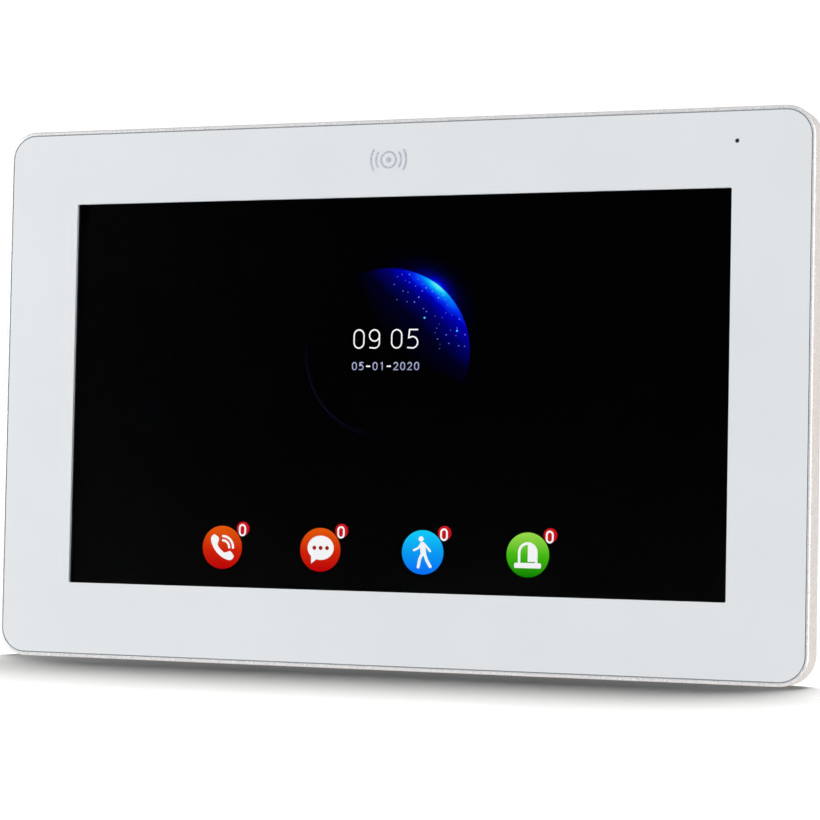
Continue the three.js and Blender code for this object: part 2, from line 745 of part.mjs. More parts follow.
function speakerCone() {
  return turned([
    [0, -7.6],
    [4.6, -7.6],
    [15.6, -5.3],
    [17.2, -4.9],
    [17.2, -4.6],
    [15.5, -4.9],
    [4.6, -7],
    [3.5, -6.4],
    [0, -5.9],
  ], 28, SPEAKER_X, SPEAKER_Z);
}

function speakerLead() {
  return lead([
    [78.4, -9.4, -5],
    [72, -9.9, -5.6],
    [67, -9.4, -6.2],
    [63, -9.2, -6.8],
    [60, -9.9, -7.2],
  ], 0.7);
}

// ---------------------------------------------------------------- wall bracket

function hook(x, level) {
  const left = x - HOOK_WIDTH / 2;
  const right = x + HOOK_WIDTH / 2;
  const web = block([left, HOOK_FRONT_Y, level], [right, -BRACKET_SHEET / 2, level + BRACKET_SHEET]);
  const lipBack = HOOK_FRONT_Y + BRACKET_SHEET;
  return web.add(block([left, HOOK_FRONT_Y, level], [right, lipBack, level + HOOK_HEIGHT]));
}

function wallBracket() {
  const sheet = plate(roundedOutline(BRACKET_WIDTH, BRACKET_HEIGHT, BRACKET_CORNER, 0, 0, 4), -BRACKET_SHEET, 0);
  const windowHeight = BAY_TOP - BAY_BOTTOM + 4;
  const windowMiddle = (BAY_TOP + BAY_BOTTOM) / 2;
  const cableWindow = plate(
    roundedOutline(BAY_WIDTH + 3, windowHeight, 3, 0, windowMiddle, 3),
    -BRACKET_SHEET - 1,
    1,
  );
  const cornerHoles = [-53, 53].flatMap((x) => [-39.5, 39.5].map((z) => pin(x, z, 2.25, -3, 1, 12)));
  const boxSlots = [-30.15, 30.15].map((x) => slot(x, 0, 9, 4.5, -3, 1));
  const places = HOOK_LEVELS.flatMap((level) => [[-HOOK_X, level], [HOOK_X, level]]);
  const lances = places.map(([x, level]) => block(
    [x - HOOK_WIDTH / 2 - 0.3, -3, level + BRACKET_SHEET],
    [x + HOOK_WIDTH / 2 + 0.3, 1, level + BRACKET_SHEET + HOOK_HEIGHT],
  ));
  const cutSheet = cut(sheet, [cableWindow, ...cornerHoles, ...boxSlots, ...lances]);
  return join([cutSheet, ...places.map(([x, level]) => hook(x, level))]);
}

// ---------------------------------------------------------------- assembly

const group = new THREE.Group();
const monitor = new THREE.Group();

monitor.add(
  piece('cover_glass', coverGlass(), 'whiteGlass'),
  piece('glass_adhesive', glassAdhesive(), 'tape'),
  piece('touch_sensor', touchSensor(), 'clearGlass'),
  piece('touch_flex', touchFlex(), 'flex'),
  piece('lcd_glass', lcdGlass(), 'screen'),
  piece('light_guide', lightGuide(), 'whitePlastic'),
  piece('led_strip', ledStrip(), 'whitePlastic'),
  piece('backlight_tray', backlightTray(), 'steel'),
  piece('panel_board', panelBoard(), 'board'),
  piece('display_cable', displayCable(), 'flex'),
  piece('lcd_rail_left', lcdRail(-1), 'steel'),
  piece('lcd_rail_right', lcdRail(1), 'steel'),
  ...copies('rail_screw', screw(2.5, 1.5, 1.15, 4, false), 'screwSteel', RAIL_SCREWS, RAIL_BACK_Y + FIT_GAP),
  piece('front_frame', frontFrame(), 'casing'),
);

monitor.add(
  piece('mic_boot', micBoot(), 'rubber'),
  piece('mic_capsule', micCapsule(), 'steel'),
  piece('mic_lead', micLead(), 'lead'),
);

monitor.add(
  piece('rear_cover', rearCover(), 'casing'),
  piece('rear_label', rearLabel(), 'label'),
  ...copies('case_screw', screw(2.8, 1.9, 1.35, 6, true), 'screwSteel', CASE_SCREWS, CASE_SCREW_SEAT_Y + FIT_GAP),
  piece('main_board', mainBoard(), 'board'),
  ...copies('board_screw', screwTurned(), 'screwSteel', BOARD_SCREWS, BOARD_FRONT_Y - FIT_GAP),
);

/** Board screw: driven from the display side, so its head points to -y. */
function screwTurned() {
  const rest = screw(2.6, 1.5, 1.15, 5.4, false);
  return rest.rotate([180, 0, 0]);
}

monitor.add(
  piece('processor', block([-33, ON_BOARD_Y, 10], [-17, ON_BOARD_Y + 1.2, 26]), 'blackPlastic'),
  piece('processor_shield', processorShield(), 'steel'),
  piece('memory_chip', block([4, ON_BOARD_Y, 12], [18, ON_BOARD_Y + 1, 23]), 'blackPlastic'),
  piece('power_inductor', block([28, ON_BOARD_Y, -8], [40, ON_BOARD_Y + 5.5, 4]), 'ferrite'),
  piece('capacitor_1', pin(49.5, -4, 4, ON_BOARD_Y, -4.6), 'steel'),
  piece('capacitor_2', pin(58.5, 8, 4, ON_BOARD_Y, -4.6), 'steel'),
  piece('coin_cell', pin(-78, 12, 10, ON_BOARD_Y + 0.9, ON_BOARD_Y + 4.1, 28), 'steel'),
  piece('coin_cell_holder', coinCellHolder(), 'blackPlastic'),
  ...copies('camera_header', header(4), 'whitePlastic', CAMERA_HEADERS, ON_BOARD_Y),
  piece('power_header', header(2), 'whitePlastic', POWER_HEADER_X, ON_BOARD_Y, HEADER_Z),
);

monitor.add(
  piece('card_socket', cardSocket(), 'steel'),
  piece('memory_card', memoryCard(), 'blackPlastic'),
  piece('power_switch', powerSwitch(), 'steel'),
  piece('power_knob', powerKnob(), 'blackPlastic'),
  piece('reset_switch', resetSwitch(), 'blackPlastic'),
  piece('reset_plunger', resetPlunger(), 'whitePlastic'),
);

monitor.add(
  piece('speaker_gasket', speakerGasket(), 'rubber'),
  piece('speaker_basket', speakerBasket(), 'steel'),
  piece('speaker_cone', speakerCone(), 'paper'),
  piece('speaker_magnet', pin(SPEAKER_X, SPEAKER_Z, 10, -13.4, -10.1, 28), 'ferrite'),
  piece('speaker_lead', speakerLead(), 'lead'),
);

group.add(monitor, piece('wall_bracket', wallBracket(), 'steel'));

export default group;
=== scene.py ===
"""Looks of a wall-mounted touch monitor for a video door intercom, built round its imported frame.

Everything is in metres in the frame's own axes: +X is to the right seen from the front, +Z is
up, the screen faces -Y and the wall is the plane y = 0. Sizes in the classes are millimetres
and are turned into metres by MM where a mesh is made.
"""

import logging
import math
from dataclasses import dataclass
from enum import Enum
from typing import Any, Callable, Iterable, Optional, Sequence

import bmesh
import bpy
from mathutils import Matrix, Vector


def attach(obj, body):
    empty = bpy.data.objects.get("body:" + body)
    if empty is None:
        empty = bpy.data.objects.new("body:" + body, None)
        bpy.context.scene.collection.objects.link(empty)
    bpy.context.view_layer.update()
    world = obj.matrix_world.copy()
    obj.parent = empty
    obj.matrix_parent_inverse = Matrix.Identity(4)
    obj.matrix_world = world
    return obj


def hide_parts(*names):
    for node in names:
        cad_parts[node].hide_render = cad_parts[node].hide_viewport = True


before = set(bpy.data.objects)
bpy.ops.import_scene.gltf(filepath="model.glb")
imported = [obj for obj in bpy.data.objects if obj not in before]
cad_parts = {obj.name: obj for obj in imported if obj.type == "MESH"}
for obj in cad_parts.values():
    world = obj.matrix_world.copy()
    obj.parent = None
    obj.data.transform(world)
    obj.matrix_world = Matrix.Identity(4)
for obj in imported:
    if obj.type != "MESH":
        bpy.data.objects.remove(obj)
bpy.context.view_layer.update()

MM = 0.001
log = logging.getLogger("intercom_monitor")

Point = tuple[float, float]
Outline = list[Point]


class Body(Enum):
    """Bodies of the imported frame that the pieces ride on."""

    BRACKET = "bracket"
    MONITOR = "monitor"
    CARD = "memory_card"
    KNOB = "power_knob"
    PLUNGER = "reset_plunger"
    CONE = "speaker_cone"


# ---------------------------------------------------------------- node trees


class Graph:
    """Adds nodes to one node tree and joins them."""

    def __init__(self, tree: bpy.types.NodeTree) -> None:
        """Keeps the tree that the nodes go into."""
        self.tree = tree

    def add(self, kind: str, feeds: Optional[dict[Any, Any]] = None, **settings: Any) -> bpy.types.Node:
        """Adds one node.

        Args:
            kind: The node's type name.
            feeds: What each input gets, by name or number: a socket to join or a plain value.
            settings: Properties of the node itself.

        Returns:
            The new node.
        """
        node = self.tree.nodes.new(kind)
        for name, value in settings.items():
            setattr(node, name, value)
        for key, value in (feeds or {}).items():
            self.feed(node.inputs[key], value)
        return node

    def feed(self, socket: bpy.types.NodeSocket, value: Any) -> None:
        """Joins a socket to the input, or sets the input's own value.

        Args:
            socket: The input.
            value: An output socket, or a number, vector, colour, object or material.
        """
        if isinstance(value, bpy.types.NodeSocket):
            self.tree.links.new(value, socket)
        else:
            socket.default_value = value

    def math(self, operation: str, *values: Any, clamp: bool = False) -> bpy.types.NodeSocket:
        """Adds a Math node.

        Args:
            operation: Blender's name of the operation.
            values: The operands, as sockets or numbers.
            clamp: Whether the result is held between 0 and 1.

        Returns:
            The result's socket.
        """
        feeds = dict(enumerate(values))
        return self.add("ShaderNodeMath", feeds, operation=operation, use_clamp=clamp).outputs[0]

    def mix(self, factor: Any, first: Any, second: Any, blend: str = "MIX") -> bpy.types.NodeSocket:
        """Mixes two colours.

        Args:
            factor: Share of the second colour.
            first: The colour at factor 0.
            second: The colour at factor 1.
            blend: Blender's name of the blending.

        Returns:
            The mixed colour's socket.
        """
        feeds = {0: factor, 6: first, 7: second}
        node = self.add("ShaderNodeMix", feeds, data_type="RGBA", blend_type=blend)
        return node.outputs[2]

    def group(self, tree: bpy.types.NodeTree, **values: Any) -> Any:
        """Places a shader node group with its own input values and hands back its outputs."""
        return self.add("ShaderNodeGroup", values, node_tree=tree).outputs

    def spread(
        self, value: Any, low: float, high: float, to_low: float, to_high: float
    ) -> bpy.types.NodeSocket:
        """Maps a value from one range to another and holds it there.

        Args:
            value: The socket to map.
            low: Start of the range it comes from.
            high: End of the range it comes from.
            to_low: Result at low.
            to_high: Result at high.

        Returns:
            The mapped value's socket.
        """
        feeds = {0: value, 1: low, 2: high, 3: to_low, 4: to_high}
        return self.add("ShaderNodeMapRange", feeds).outputs[0]

    def noise(self, vector: Any, size: float, detail: float = 2.0) -> bpy.types.NodeSocket:
        """Noise between 0 and 1 whose blobs have a given size.

        Args:
            vector: Coordinates in metres.
            size: Size of a blob in millimetres.
            detail: Octaves of finer noise.

        Returns:
            The noise's socket.
        """
        feeds = {"Vector": vector, "Scale": 1 / (size * MM), "Detail": detail}
        return self.add("ShaderNodeTexNoise", feeds).outputs[0]

    def place(self) -> bpy.types.NodeSocket:
        """Place on the object, in metres of the frame."""
        return self.add("ShaderNodeTexCoord").outputs["Object"]

    def ramp(self, value: Any, stops: Sequence[tuple[float, int]]) -> bpy.types.NodeSocket:
        """Colour picked along a ramp.

        Args:
            value: Socket with the place on the ramp.
            stops: Place and colour of each stop.

        Returns:
            The colour's socket.
        """
        node = self.add("ShaderNodeValToRGB", {0: value})
        elements = node.color_ramp.elements
        while len(elements) < len(stops):
            elements.new(0.5)
        for element, (position, colour) in zip(elements, stops):
            element.position = position
            element.color = linear(colour)
        return node.outputs[0]


def linear(colour: int) -> tuple[float, float, float, float]:
    """Turns a screen colour into the linear values that shaders use.

    Args:
        colour: The colour as 0xRRGGBB.

    Returns:
        Linear red, green and blue, and full alpha.
    """
    channels = [(colour >> shift & 255) / 255 for shift in (16, 8, 0)]
    bent = [c / 12.92 if c <= 0.04045 else ((c + 0.055) / 1.055) ** 2.4 for c in channels]
    return (*bent, 1.0)


def node_group(
    name: str,
    kind: str,
    inputs: Sequence[tuple[str, str, Any]],
    outputs: Sequence[tuple[str, str]],
    wire: Callable[[Graph, bpy.types.Node, bpy.types.Node], None],
) -> bpy.types.NodeTree:
    """Builds a node group once and hands back the same one afterwards.

    Args:
        name: Name of the group.
        kind: ShaderNodeTree or GeometryNodeTree.
        inputs: Name, socket type and default of each input.
        outputs: Name and socket type of each output.
        wire: Adds the nodes between the group's input node and its output node.

    Returns:
        The group.
    """
    known = bpy.data.node_groups.get(name)
    if known:
        return known
    tree = bpy.data.node_groups.new(name, kind)
    for label, socket_type, default in inputs:
        socket = tree.interface.new_socket(label, in_out="INPUT", socket_type=socket_type)
        if default is not None:
            socket.default_value = default
    for label, socket_type in outputs:
        tree.interface.new_socket(label, in_out="OUTPUT", socket_type=socket_type)
    graph = Graph(tree)
    wire(graph, graph.add("NodeGroupInput"), graph.add("NodeGroupOutput"))
    return tree


FLOAT = "NodeSocketFloat"
INTEGER = "NodeSocketInt"
GEOMETRY = "NodeSocketGeometry"
MATERIAL = "NodeSocketMaterial"


def mould_grain() -> bpy.types.NodeTree:
    """Group for the fine texture of a mould or a paint: a height and a slow unevenness."""

    def wire(graph: Graph, given: bpy.types.Node, result: bpy.types.Node) -> None:
        """Fine noise over finer noise for the height, and broad noise for the unevenness."""
        place = graph.place()
        frequency = graph.math("DIVIDE", 1 / MM, given.outputs["Size"])
        fine = graph.add("ShaderNodeTexNoise", {"Vector": place, "Scale": frequency, "Detail": 3.0})
        broad = graph.noise(place, 38.0, 3.0)
        graph.feed(result.inputs["Height"], fine.outputs[0])
        graph.feed(result.inputs["Unevenness"], graph.spread(broad, 0.3, 0.7, 0.0, 1.0))

    return node_group(
        "mould_grain",
        "ShaderNodeTree",
        [("Size", FLOAT, 0.5)],
        [("Height", FLOAT), ("Unevenness", FLOAT)],
        wire,
    )


def metal_flakes() -> bpy.types.NodeTree:
    """Group for the bright flakes in a lacquer: a mask of single bright and dark cells."""

    def wire(graph: Graph, given: bpy.types.Node, result: bpy.types.Node) -> None:
        """Random value of each small cell, kept only where it is high or low."""
        frequency = graph.math("DIVIDE", 1 / MM, given.outputs["Size"])
        cells = graph.add("ShaderNodeTexVoronoi", {"Vector": graph.place(), "Scale": frequency})
        chance = graph.add("ShaderNodeSeparateColor", {0: cells.outputs["Color"]}).outputs[0]
        graph.feed(result.inputs["Bright"], graph.spread(chance, 0.72, 0.95, 0.0, 1.0))
        graph.feed(result.inputs["Dark"], graph.spread(chance, 0.28, 0.05, 0.0, 1.0))

    return node_group(
        "metal_flakes",
        "ShaderNodeTree",
        [("Size", FLOAT, 0.3)],
        [("Bright", FLOAT), ("Dark", FLOAT)],
        wire,
    )


def handling_film() -> bpy.types.NodeTree:
    """Group for the faint film that hands and cloths leave: a mask of long soft patches."""

    def wire(graph: Graph, given: bpy.types.Node, result: bpy.types.Node) -> None:
        """Stretched noise, cut so that most of the surface is clean."""
        stretch = graph.add("ShaderNodeMapping", {"Vector": graph.place(), "Scale": (1.0, 1.0, 2.6)})
        patches = graph.noise(stretch.outputs[0], 60.0, 4.0)
        edge = graph.math("SUBTRACT", 1.0, given.outputs["Amount"])
        cut = graph.math("SUBTRACT", patches, graph.math("MULTIPLY", edge, 0.6))
        graph.feed(result.inputs["Film"], graph.math("MULTIPLY", cut, 2.0, clamp=True))

    return node_group(
        "handling_film",
        "ShaderNodeTree",
        [("Amount", FLOAT, 0.2)],
        [("Film", FLOAT)],
        wire,
    )


# ---------------------------------------------------------------- finishes


@dataclass(frozen=True)
class Finish:
    """A moulded or painted surface: one colour, slightly uneven, with a fine texture."""

    name: str
    colour: int
    roughness: float = 0.5
    metallic: float = 0.0
    grain: float = 0.5
    depth: float = 0.008
    unevenness: float = 0.05
    coat: float = 0.0
    specular: float = 0.5

    def material(self) -> bpy.types.Material:
        """Makes the material once.

        Returns:
            The material, the same one each time for the same name.
        """
        known = bpy.data.materials.get(self.name)
        if known:
            return known
        made = bpy.data.materials.new(self.name)
        made.use_nodes = True
        made.diffuse_color = linear(self.colour)
        made.node_tree.nodes.clear()
        graph = Graph(made.node_tree)
        shader = graph.add(
            "ShaderNodeBsdfPrincipled",
            {
                "Base Color": linear(self.colour),
                "Metallic": self.metallic,
                "Roughness": self.roughness,
                "Specular IOR Level": self.specular,
                "Coat Weight": self.coat,
                "Coat Roughness": 0.04,
            },
        )
        output = graph.add("ShaderNodeOutputMaterial")
        graph.feed(output.inputs["Surface"], shader.outputs[0])
        self.dress(graph, shader.inputs)
        return made

    def dress(self, graph: Graph, sockets: Any) -> None:
        """Adds the grain, the slow colour change and the uneven gloss.

        Args:
            graph: The material's graph.
            sockets: The shader's inputs.
        """
        grain = graph.group(mould_grain(), Size=self.grain)
        self.tint(graph, sockets, grain["Unevenness"], 3 * self.unevenness)
        low, high = self.roughness * 0.9, min(1.0, self.roughness * 1.15)
        graph.feed(sockets["Roughness"], graph.spread(grain["Unevenness"], 0.0, 1.0, low, high))
        self.emboss(graph, sockets, grain["Height"], self.depth)

    def tint(self, graph: Graph, sockets: Any, mask: bpy.types.NodeSocket, share: float) -> None:
        """Feeds the finish's colour into the base colour, darker where a mask is high.

        Args:
            graph: The material's graph.
            sockets: The shader's inputs.
            mask: Socket with the mask between 0 and 1.
            share: Share of the light that is lost where the mask is 1.
        """
        shade = [channel * (1 - share) for channel in linear(self.colour)[:3]]
        graph.feed(sockets["Base Color"], graph.mix(mask, linear(self.colour), (*shade, 1.0)))

    @staticmethod
    def emboss(graph: Graph, sockets: Any, height: bpy.types.NodeSocket, depth: float) -> None:
        """Feeds a height into the shader's normal.

        Args:
            graph: The material's graph.
            sockets: The shader's inputs.
            height: Socket with the height between 0 and 1.
            depth: Depth of the relief in millimetres.
        """
        bump = graph.add("ShaderNodeBump", {"Distance": depth * MM, "Height": height, "Strength": 1.0})
        graph.feed(sockets["Normal"], bump.outputs[0])


@dataclass(frozen=True)
class FlakedLacquer(Finish):
    """Silver lacquer whose flakes glint one by one."""

    flake: float = 0.34
    glint: int = 0xFFFFFF
    shadow: int = 0x8C8E92

    def dress(self, graph: Graph, sockets: Any) -> None:
        """Mixes bright and dark flakes into the colour and the gloss."""
        flakes = graph.group(metal_flakes(), Size=self.flake)
        lit = graph.mix(flakes["Bright"], linear(self.colour), linear(self.glint))
        colour = graph.mix(graph.math("MULTIPLY", flakes["Dark"], 0.5), lit, linear(self.shadow))
        graph.feed(sockets["Base Color"], colour)
        polish = graph.spread(flakes["Bright"], 0.0, 1.0, self.roughness, self.roughness * 0.6)
        graph.feed(sockets["Roughness"], polish)
        grain = graph.group(mould_grain(), Size=self.grain)
        self.emboss(graph, sockets, grain["Height"], self.depth)


@dataclass(frozen=True)
class PrintedGlass(Finish):
    """Opaque print behind polished glass, with a faint film from handling."""

    film: float = 0.25
    dulling: float = 0.06

    def dress(self, graph: Graph, sockets: Any) -> None:
        """Even colour with a slow tint, and a film that dulls the gloss a little."""
        self.tint(graph, sockets, graph.group(mould_grain())["Unevenness"], self.unevenness)
        film = graph.group(handling_film(), Amount=self.film)["Film"]
        dulled = graph.spread(film, 0.0, 1.0, self.roughness, self.roughness + self.dulling)
        graph.feed(sockets["Roughness"], dulled)


@dataclass(frozen=True)
class ClearSheet(Finish):
    """Clear glass or film that is looked through."""

    refraction: float = 1.5

    def dress(self, graph: Graph, sockets: Any) -> None:
        """Full transmission, a very slightly uneven tint and no relief."""
        sockets["Transmission Weight"].default_value = 1.0
        sockets["IOR"].default_value = self.refraction
        self.tint(graph, sockets, graph.group(mould_grain())["Unevenness"], self.unevenness)


@dataclass(frozen=True)
class GlowGradient(Finish):
    """Lit picture element whose colour changes from its bottom to its top."""

    stops: tuple[tuple[float, int], ...] = ()
    bottom: float = 0.0
    top: float = 1.0
    strength: float = 1.0

    def dress(self, graph: Graph, sockets: Any) -> None:
        """Feeds a ramp along Z into the emission."""
        height = graph.add("ShaderNodeSeparateXYZ", {0: graph.place()}).outputs[2]
        rise = graph.spread(height, self.bottom * MM, self.top * MM, 0.0, 1.0)
        graph.feed(sockets["Emission Color"], graph.ramp(rise, self.stops))
        sockets["Emission Strength"].default_value = self.strength


@dataclass(frozen=True)
class NightPlanet(Finish):
    """Display panel showing the lit edge of a dark round world on a black ground.

    Lengths other than the centre and the radii are shares of the radii, angles are degrees
    counter-clockwise from +X, and each glow is its depth, its length along the limb and its
    brightness.
    """

    centre: Point = (-0.75, 13.1)
    radii: Point = (28.1, 26.9)
    light_angle: float = 45.0
    lit_from: float = 0.36
    lit_peak: float = 0.78
    lit_bend: float = 1.3
    inward_fall: float = 2.5
    glow_angle: float = 53.0
    glow_ring: float = 0.995
    glows: tuple[tuple[float, float, float], ...] = ((0.14, 0.36, 0.4), (0.06, 0.12, 0.3))
    full_light: float = 1.4
    far_angle: float = 216.0
    far_width: float = 0.013
    far_colour: int = 0x0A071C
    strength: float = 1.0
    stops: tuple[tuple[float, int], ...] = (
        (0.0, 0x000000),
        (0.1, 0x000023),
        (0.24, 0x000070),
        (0.4, 0x0000C4),
        (0.52, 0x0030FA),
        (0.64, 0x0078FF),
        (0.8, 0x00C8FF),
        (1.0, 0x6EFAF0),
    )

    def dress(self, graph: Graph, sockets: Any) -> None:
        """Crescent, its outer haze and the faint far limb, all from the place on the panel."""
        x, _, z = graph.add("ShaderNodeSeparateXYZ", {0: graph.place()}).outputs
        across = self.normalised(graph, x, 0)
        upward = self.normalised(graph, z, 1)
        squares = graph.math("ADD", graph.math("POWER", across, 2.0), graph.math("POWER", upward, 2.0))
        distance = graph.math("SQRT", squares)
        lit = self.crescent(graph, self.along(graph, across, upward, self.light_angle), distance)
        glow = self.haze(graph, across, upward, distance)
        bright = graph.ramp(graph.math("DIVIDE", graph.math("ADD", lit, glow), self.full_light), self.stops)
        total = graph.mix(1.0, bright, self.far_limb(graph, across, upward, distance), "ADD")
        graph.feed(sockets["Emission Color"], total)
        sockets["Emission Strength"].default_value = self.strength

    def normalised(self, graph: Graph, value: Any, axis: int) -> bpy.types.NodeSocket:
        """Distance from the world's centre along one axis, in its radii."""
        offset = graph.math("SUBTRACT", value, self.centre[axis] * MM)
        return graph.math("DIVIDE", offset, self.radii[axis] * MM)

    def along(self, graph: Graph, across: Any, upward: Any, degrees: float) -> bpy.types.NodeSocket:
        """How far a place lies from the centre in a direction given in degrees."""
        angle = math.radians(degrees)
        return graph.math(
            "ADD",
            graph.math("MULTIPLY", across, math.cos(angle)),
            graph.math("MULTIPLY", upward, math.sin(angle)),
        )

    def bell(self, graph: Graph, value: Any, width: float) -> bpy.types.NodeSocket:
        """Bell curve that is 1 where the value is 0 and has fallen to 1/e at the width."""
        square = graph.math("POWER", graph.math("ABSOLUTE", graph.math("DIVIDE", value, width)), 2.0)
        return graph.math("EXPONENT", graph.math("MULTIPLY", square, -1.0))

    def crescent(self, graph: Graph, toward: Any, distance: Any) -> bpy.types.NodeSocket:
        """Brightness of the sunlit part of the ball.

        Args:
            graph: The material's graph.
            toward: How far a place lies towards the light.
            distance: Distance from the centre.

        Returns:
            The brightness, 0 outside the ball.
        """
        facing = graph.math("DIVIDE", toward, graph.math("MAXIMUM", distance, 0.01))
        rising = graph.spread(facing, self.lit_from, 1.0, 0.0, self.lit_peak)
        spread = graph.math("POWER", rising, self.lit_bend)
        depth = graph.math("POWER", distance, self.inward_fall)
        inside = graph.spread(distance, 1.006, 0.992, 0.0, 1.0)
        clouds = graph.spread(graph.noise(graph.place(), 4.0, 5.0), 0.3, 0.7, 0.92, 1.06)
        shaded = graph.math("MULTIPLY", graph.math("MULTIPLY", spread, depth), inside)
        return graph.math("MULTIPLY", shaded, clouds)

    def haze(self, graph: Graph, across: Any, upward: Any, distance: Any) -> bpy.types.NodeSocket:
        """Brightness of the glow round the point where the light comes over the limb."""
        outward = graph.math("SUBTRACT", distance, self.glow_ring)
        sideways = self.along(graph, across, upward, self.glow_angle + 90)
        forward = graph.math("GREATER_THAN", self.along(graph, across, upward, self.glow_angle), 0.0)
        lights = []
        for depth, length, brightness in self.glows:
            fading = self.bell(graph, outward, depth)
            spot = graph.math("MULTIPLY", fading, self.bell(graph, sideways, length))
            lights.append(graph.math("MULTIPLY", spot, brightness))
        return graph.math("MULTIPLY", graph.math("ADD", *lights), forward)

    def far_limb(self, graph: Graph, across: Any, upward: Any, distance: Any) -> bpy.types.NodeSocket:
        """Thin violet line along the lower left of the limb."""
        line = self.bell(graph, graph.math("SUBTRACT", distance, 0.99), self.far_width)
        side = self.along(graph, across, upward, self.far_angle)
        mask = graph.math("MULTIPLY", line, graph.spread(side, 0.6, 0.95, 0.0, 1.0))
        return graph.mix(mask, linear(0x000000), linear(self.far_colour))


@dataclass(frozen=True)
class BoardLaminate(Finish):
    """Circuit board: solder mask over copper tracks, with tinned vias."""

    track: int = 0x1D6B3E
    metal: int = 0xB9BCBE
    pitch: float = 1.6

    def dress(self, graph: Graph, sockets: Any) -> None:
        """Brick pattern for the tracks, cells for the vias."""
        place = graph.place()
        turned = graph.add("ShaderNodeMapping", {"Vector": place, "Rotation": (math.pi / 2, 0.0, 0.0)})
        bricks = graph.add(
            "ShaderNodeTexBrick",
            {
                "Vector": turned.outputs[0],
                "Scale": 1 / (self.pitch * MM),
                "Mortar Size": 0.07,
                "Brick Width": 5.2,
                "Row Height": 1.0,
            },
        )
        tracks = graph.mix(bricks.outputs["Fac"], linear(self.colour), linear(self.track))
        cells = graph.add("ShaderNodeTexVoronoi", {"Vector": place, "Scale": 1 / (3.1 * MM)})
        via = graph.spread(cells.outputs["Distance"], 0.13, 0.10, 0.0, 1.0)
        graph.feed(sockets["Base Color"], graph.mix(via, tracks, linear(self.metal)))
        graph.feed(sockets["Metallic"], via)
        graph.feed(sockets["Roughness"], graph.spread(via, 0.0, 1.0, self.roughness, 0.3))
        self.emboss(graph, sockets, bricks.outputs["Fac"], 0.02)


@dataclass(frozen=True)
class RuledPrint(Finish):
    """Stiff label: pale foil with plain ruled bars, an outline and no lettering."""

    ink: int = 0x55585C
    middle: Point = (-90.0, 0.0)
    half: Point = (19.5, 11.5)
    line: float = 0.35
    pitch: float = 4.6

    def dress(self, graph: Graph, sockets: Any) -> None:
        """Outline from the place on the label, bars from a saw wave along Z."""
        x, _, z = graph.add("ShaderNodeSeparateXYZ", {0: graph.place()}).outputs
        left = graph.math("ABSOLUTE", graph.math("SUBTRACT", x, self.middle[0] * MM))
        rise = graph.math("ABSOLUTE", graph.math("SUBTRACT", z, self.middle[1] * MM))
        outer = graph.math(
            "MAXIMUM",
            graph.math("SUBTRACT", left, self.half[0] * MM),
            graph.math("SUBTRACT", rise, self.half[1] * MM),
        )
        near = graph.math("ABSOLUTE", outer)
        outline = graph.math("LESS_THAN", near, self.line * MM / 2)
        wave = graph.math("FRACT", graph.math("DIVIDE", graph.math("ADD", z, 0.5), self.pitch * MM))
        bars = graph.math("LESS_THAN", wave, 0.22)
        within = graph.math("LESS_THAN", outer, -2.2 * MM)
        inked = graph.math("MAXIMUM", outline, graph.math("MULTIPLY", bars, within))
        graph.feed(sockets["Base Color"], graph.mix(inked, linear(self.colour), linear(self.ink)))
        graph.feed(sockets["Roughness"], graph.spread(graph.noise(graph.place(), 9.0), 0.3, 0.7, 0.3, 0.42))


@dataclass(frozen=True)
class BrushedMetal(Finish):
    """Sheet or turned metal with fine drawn lines along one axis."""

    stretch: tuple[float, float, float] = (0.04, 1.0, 1.0)

    def dress(self, graph: Graph, sockets: Any) -> None:
        """Long thin noise for the lines, broad noise for the sheen."""
        lines = graph.add("ShaderNodeMapping", {"Vector": graph.place(), "Scale": self.stretch})
        drawn = graph.noise(lines.outputs[0], self.grain, 3.0)
        broad = graph.noise(graph.place(), 20.0, 3.0)
        self.tint(graph, sockets, drawn, 4 * self.unevenness)
        low, high = self.roughness * 0.8, self.roughness * 1.3
        graph.feed(sockets["Roughness"], graph.spread(broad, 0.3, 0.7, low, high))
        self.emboss(graph, sockets, drawn, self.depth)


@dataclass(frozen=True)
class WovenCloth(Finish):
    """Thin woven cloth, such as the dust cloth over a loudspeaker."""

    pitch: float = 0.7

    def dress(self, graph: Graph, sockets: Any) -> None:
        """Two crossed waves give the threads."""
        place = graph.place()
        frequency = 1 / (self.pitch * MM * 3.0)
        waves = [
            graph.add(
                "ShaderNodeTexWave",
                {"Vector": place, "Scale": frequency},
                bands_direction=direction,
            ).outputs["Fac"]
            for direction in ("X", "Z")
        ]
        weave = graph.math("MAXIMUM", *waves)
        pale = [min(1.0, channel * 2.4 + 0.01) for channel in linear(self.colour)[:3]]
        graph.feed(sockets["Base Color"], graph.mix(weave, linear(self.colour), (*pale, 1.0)))
        self.emboss(graph, sockets, weave, 0.12)


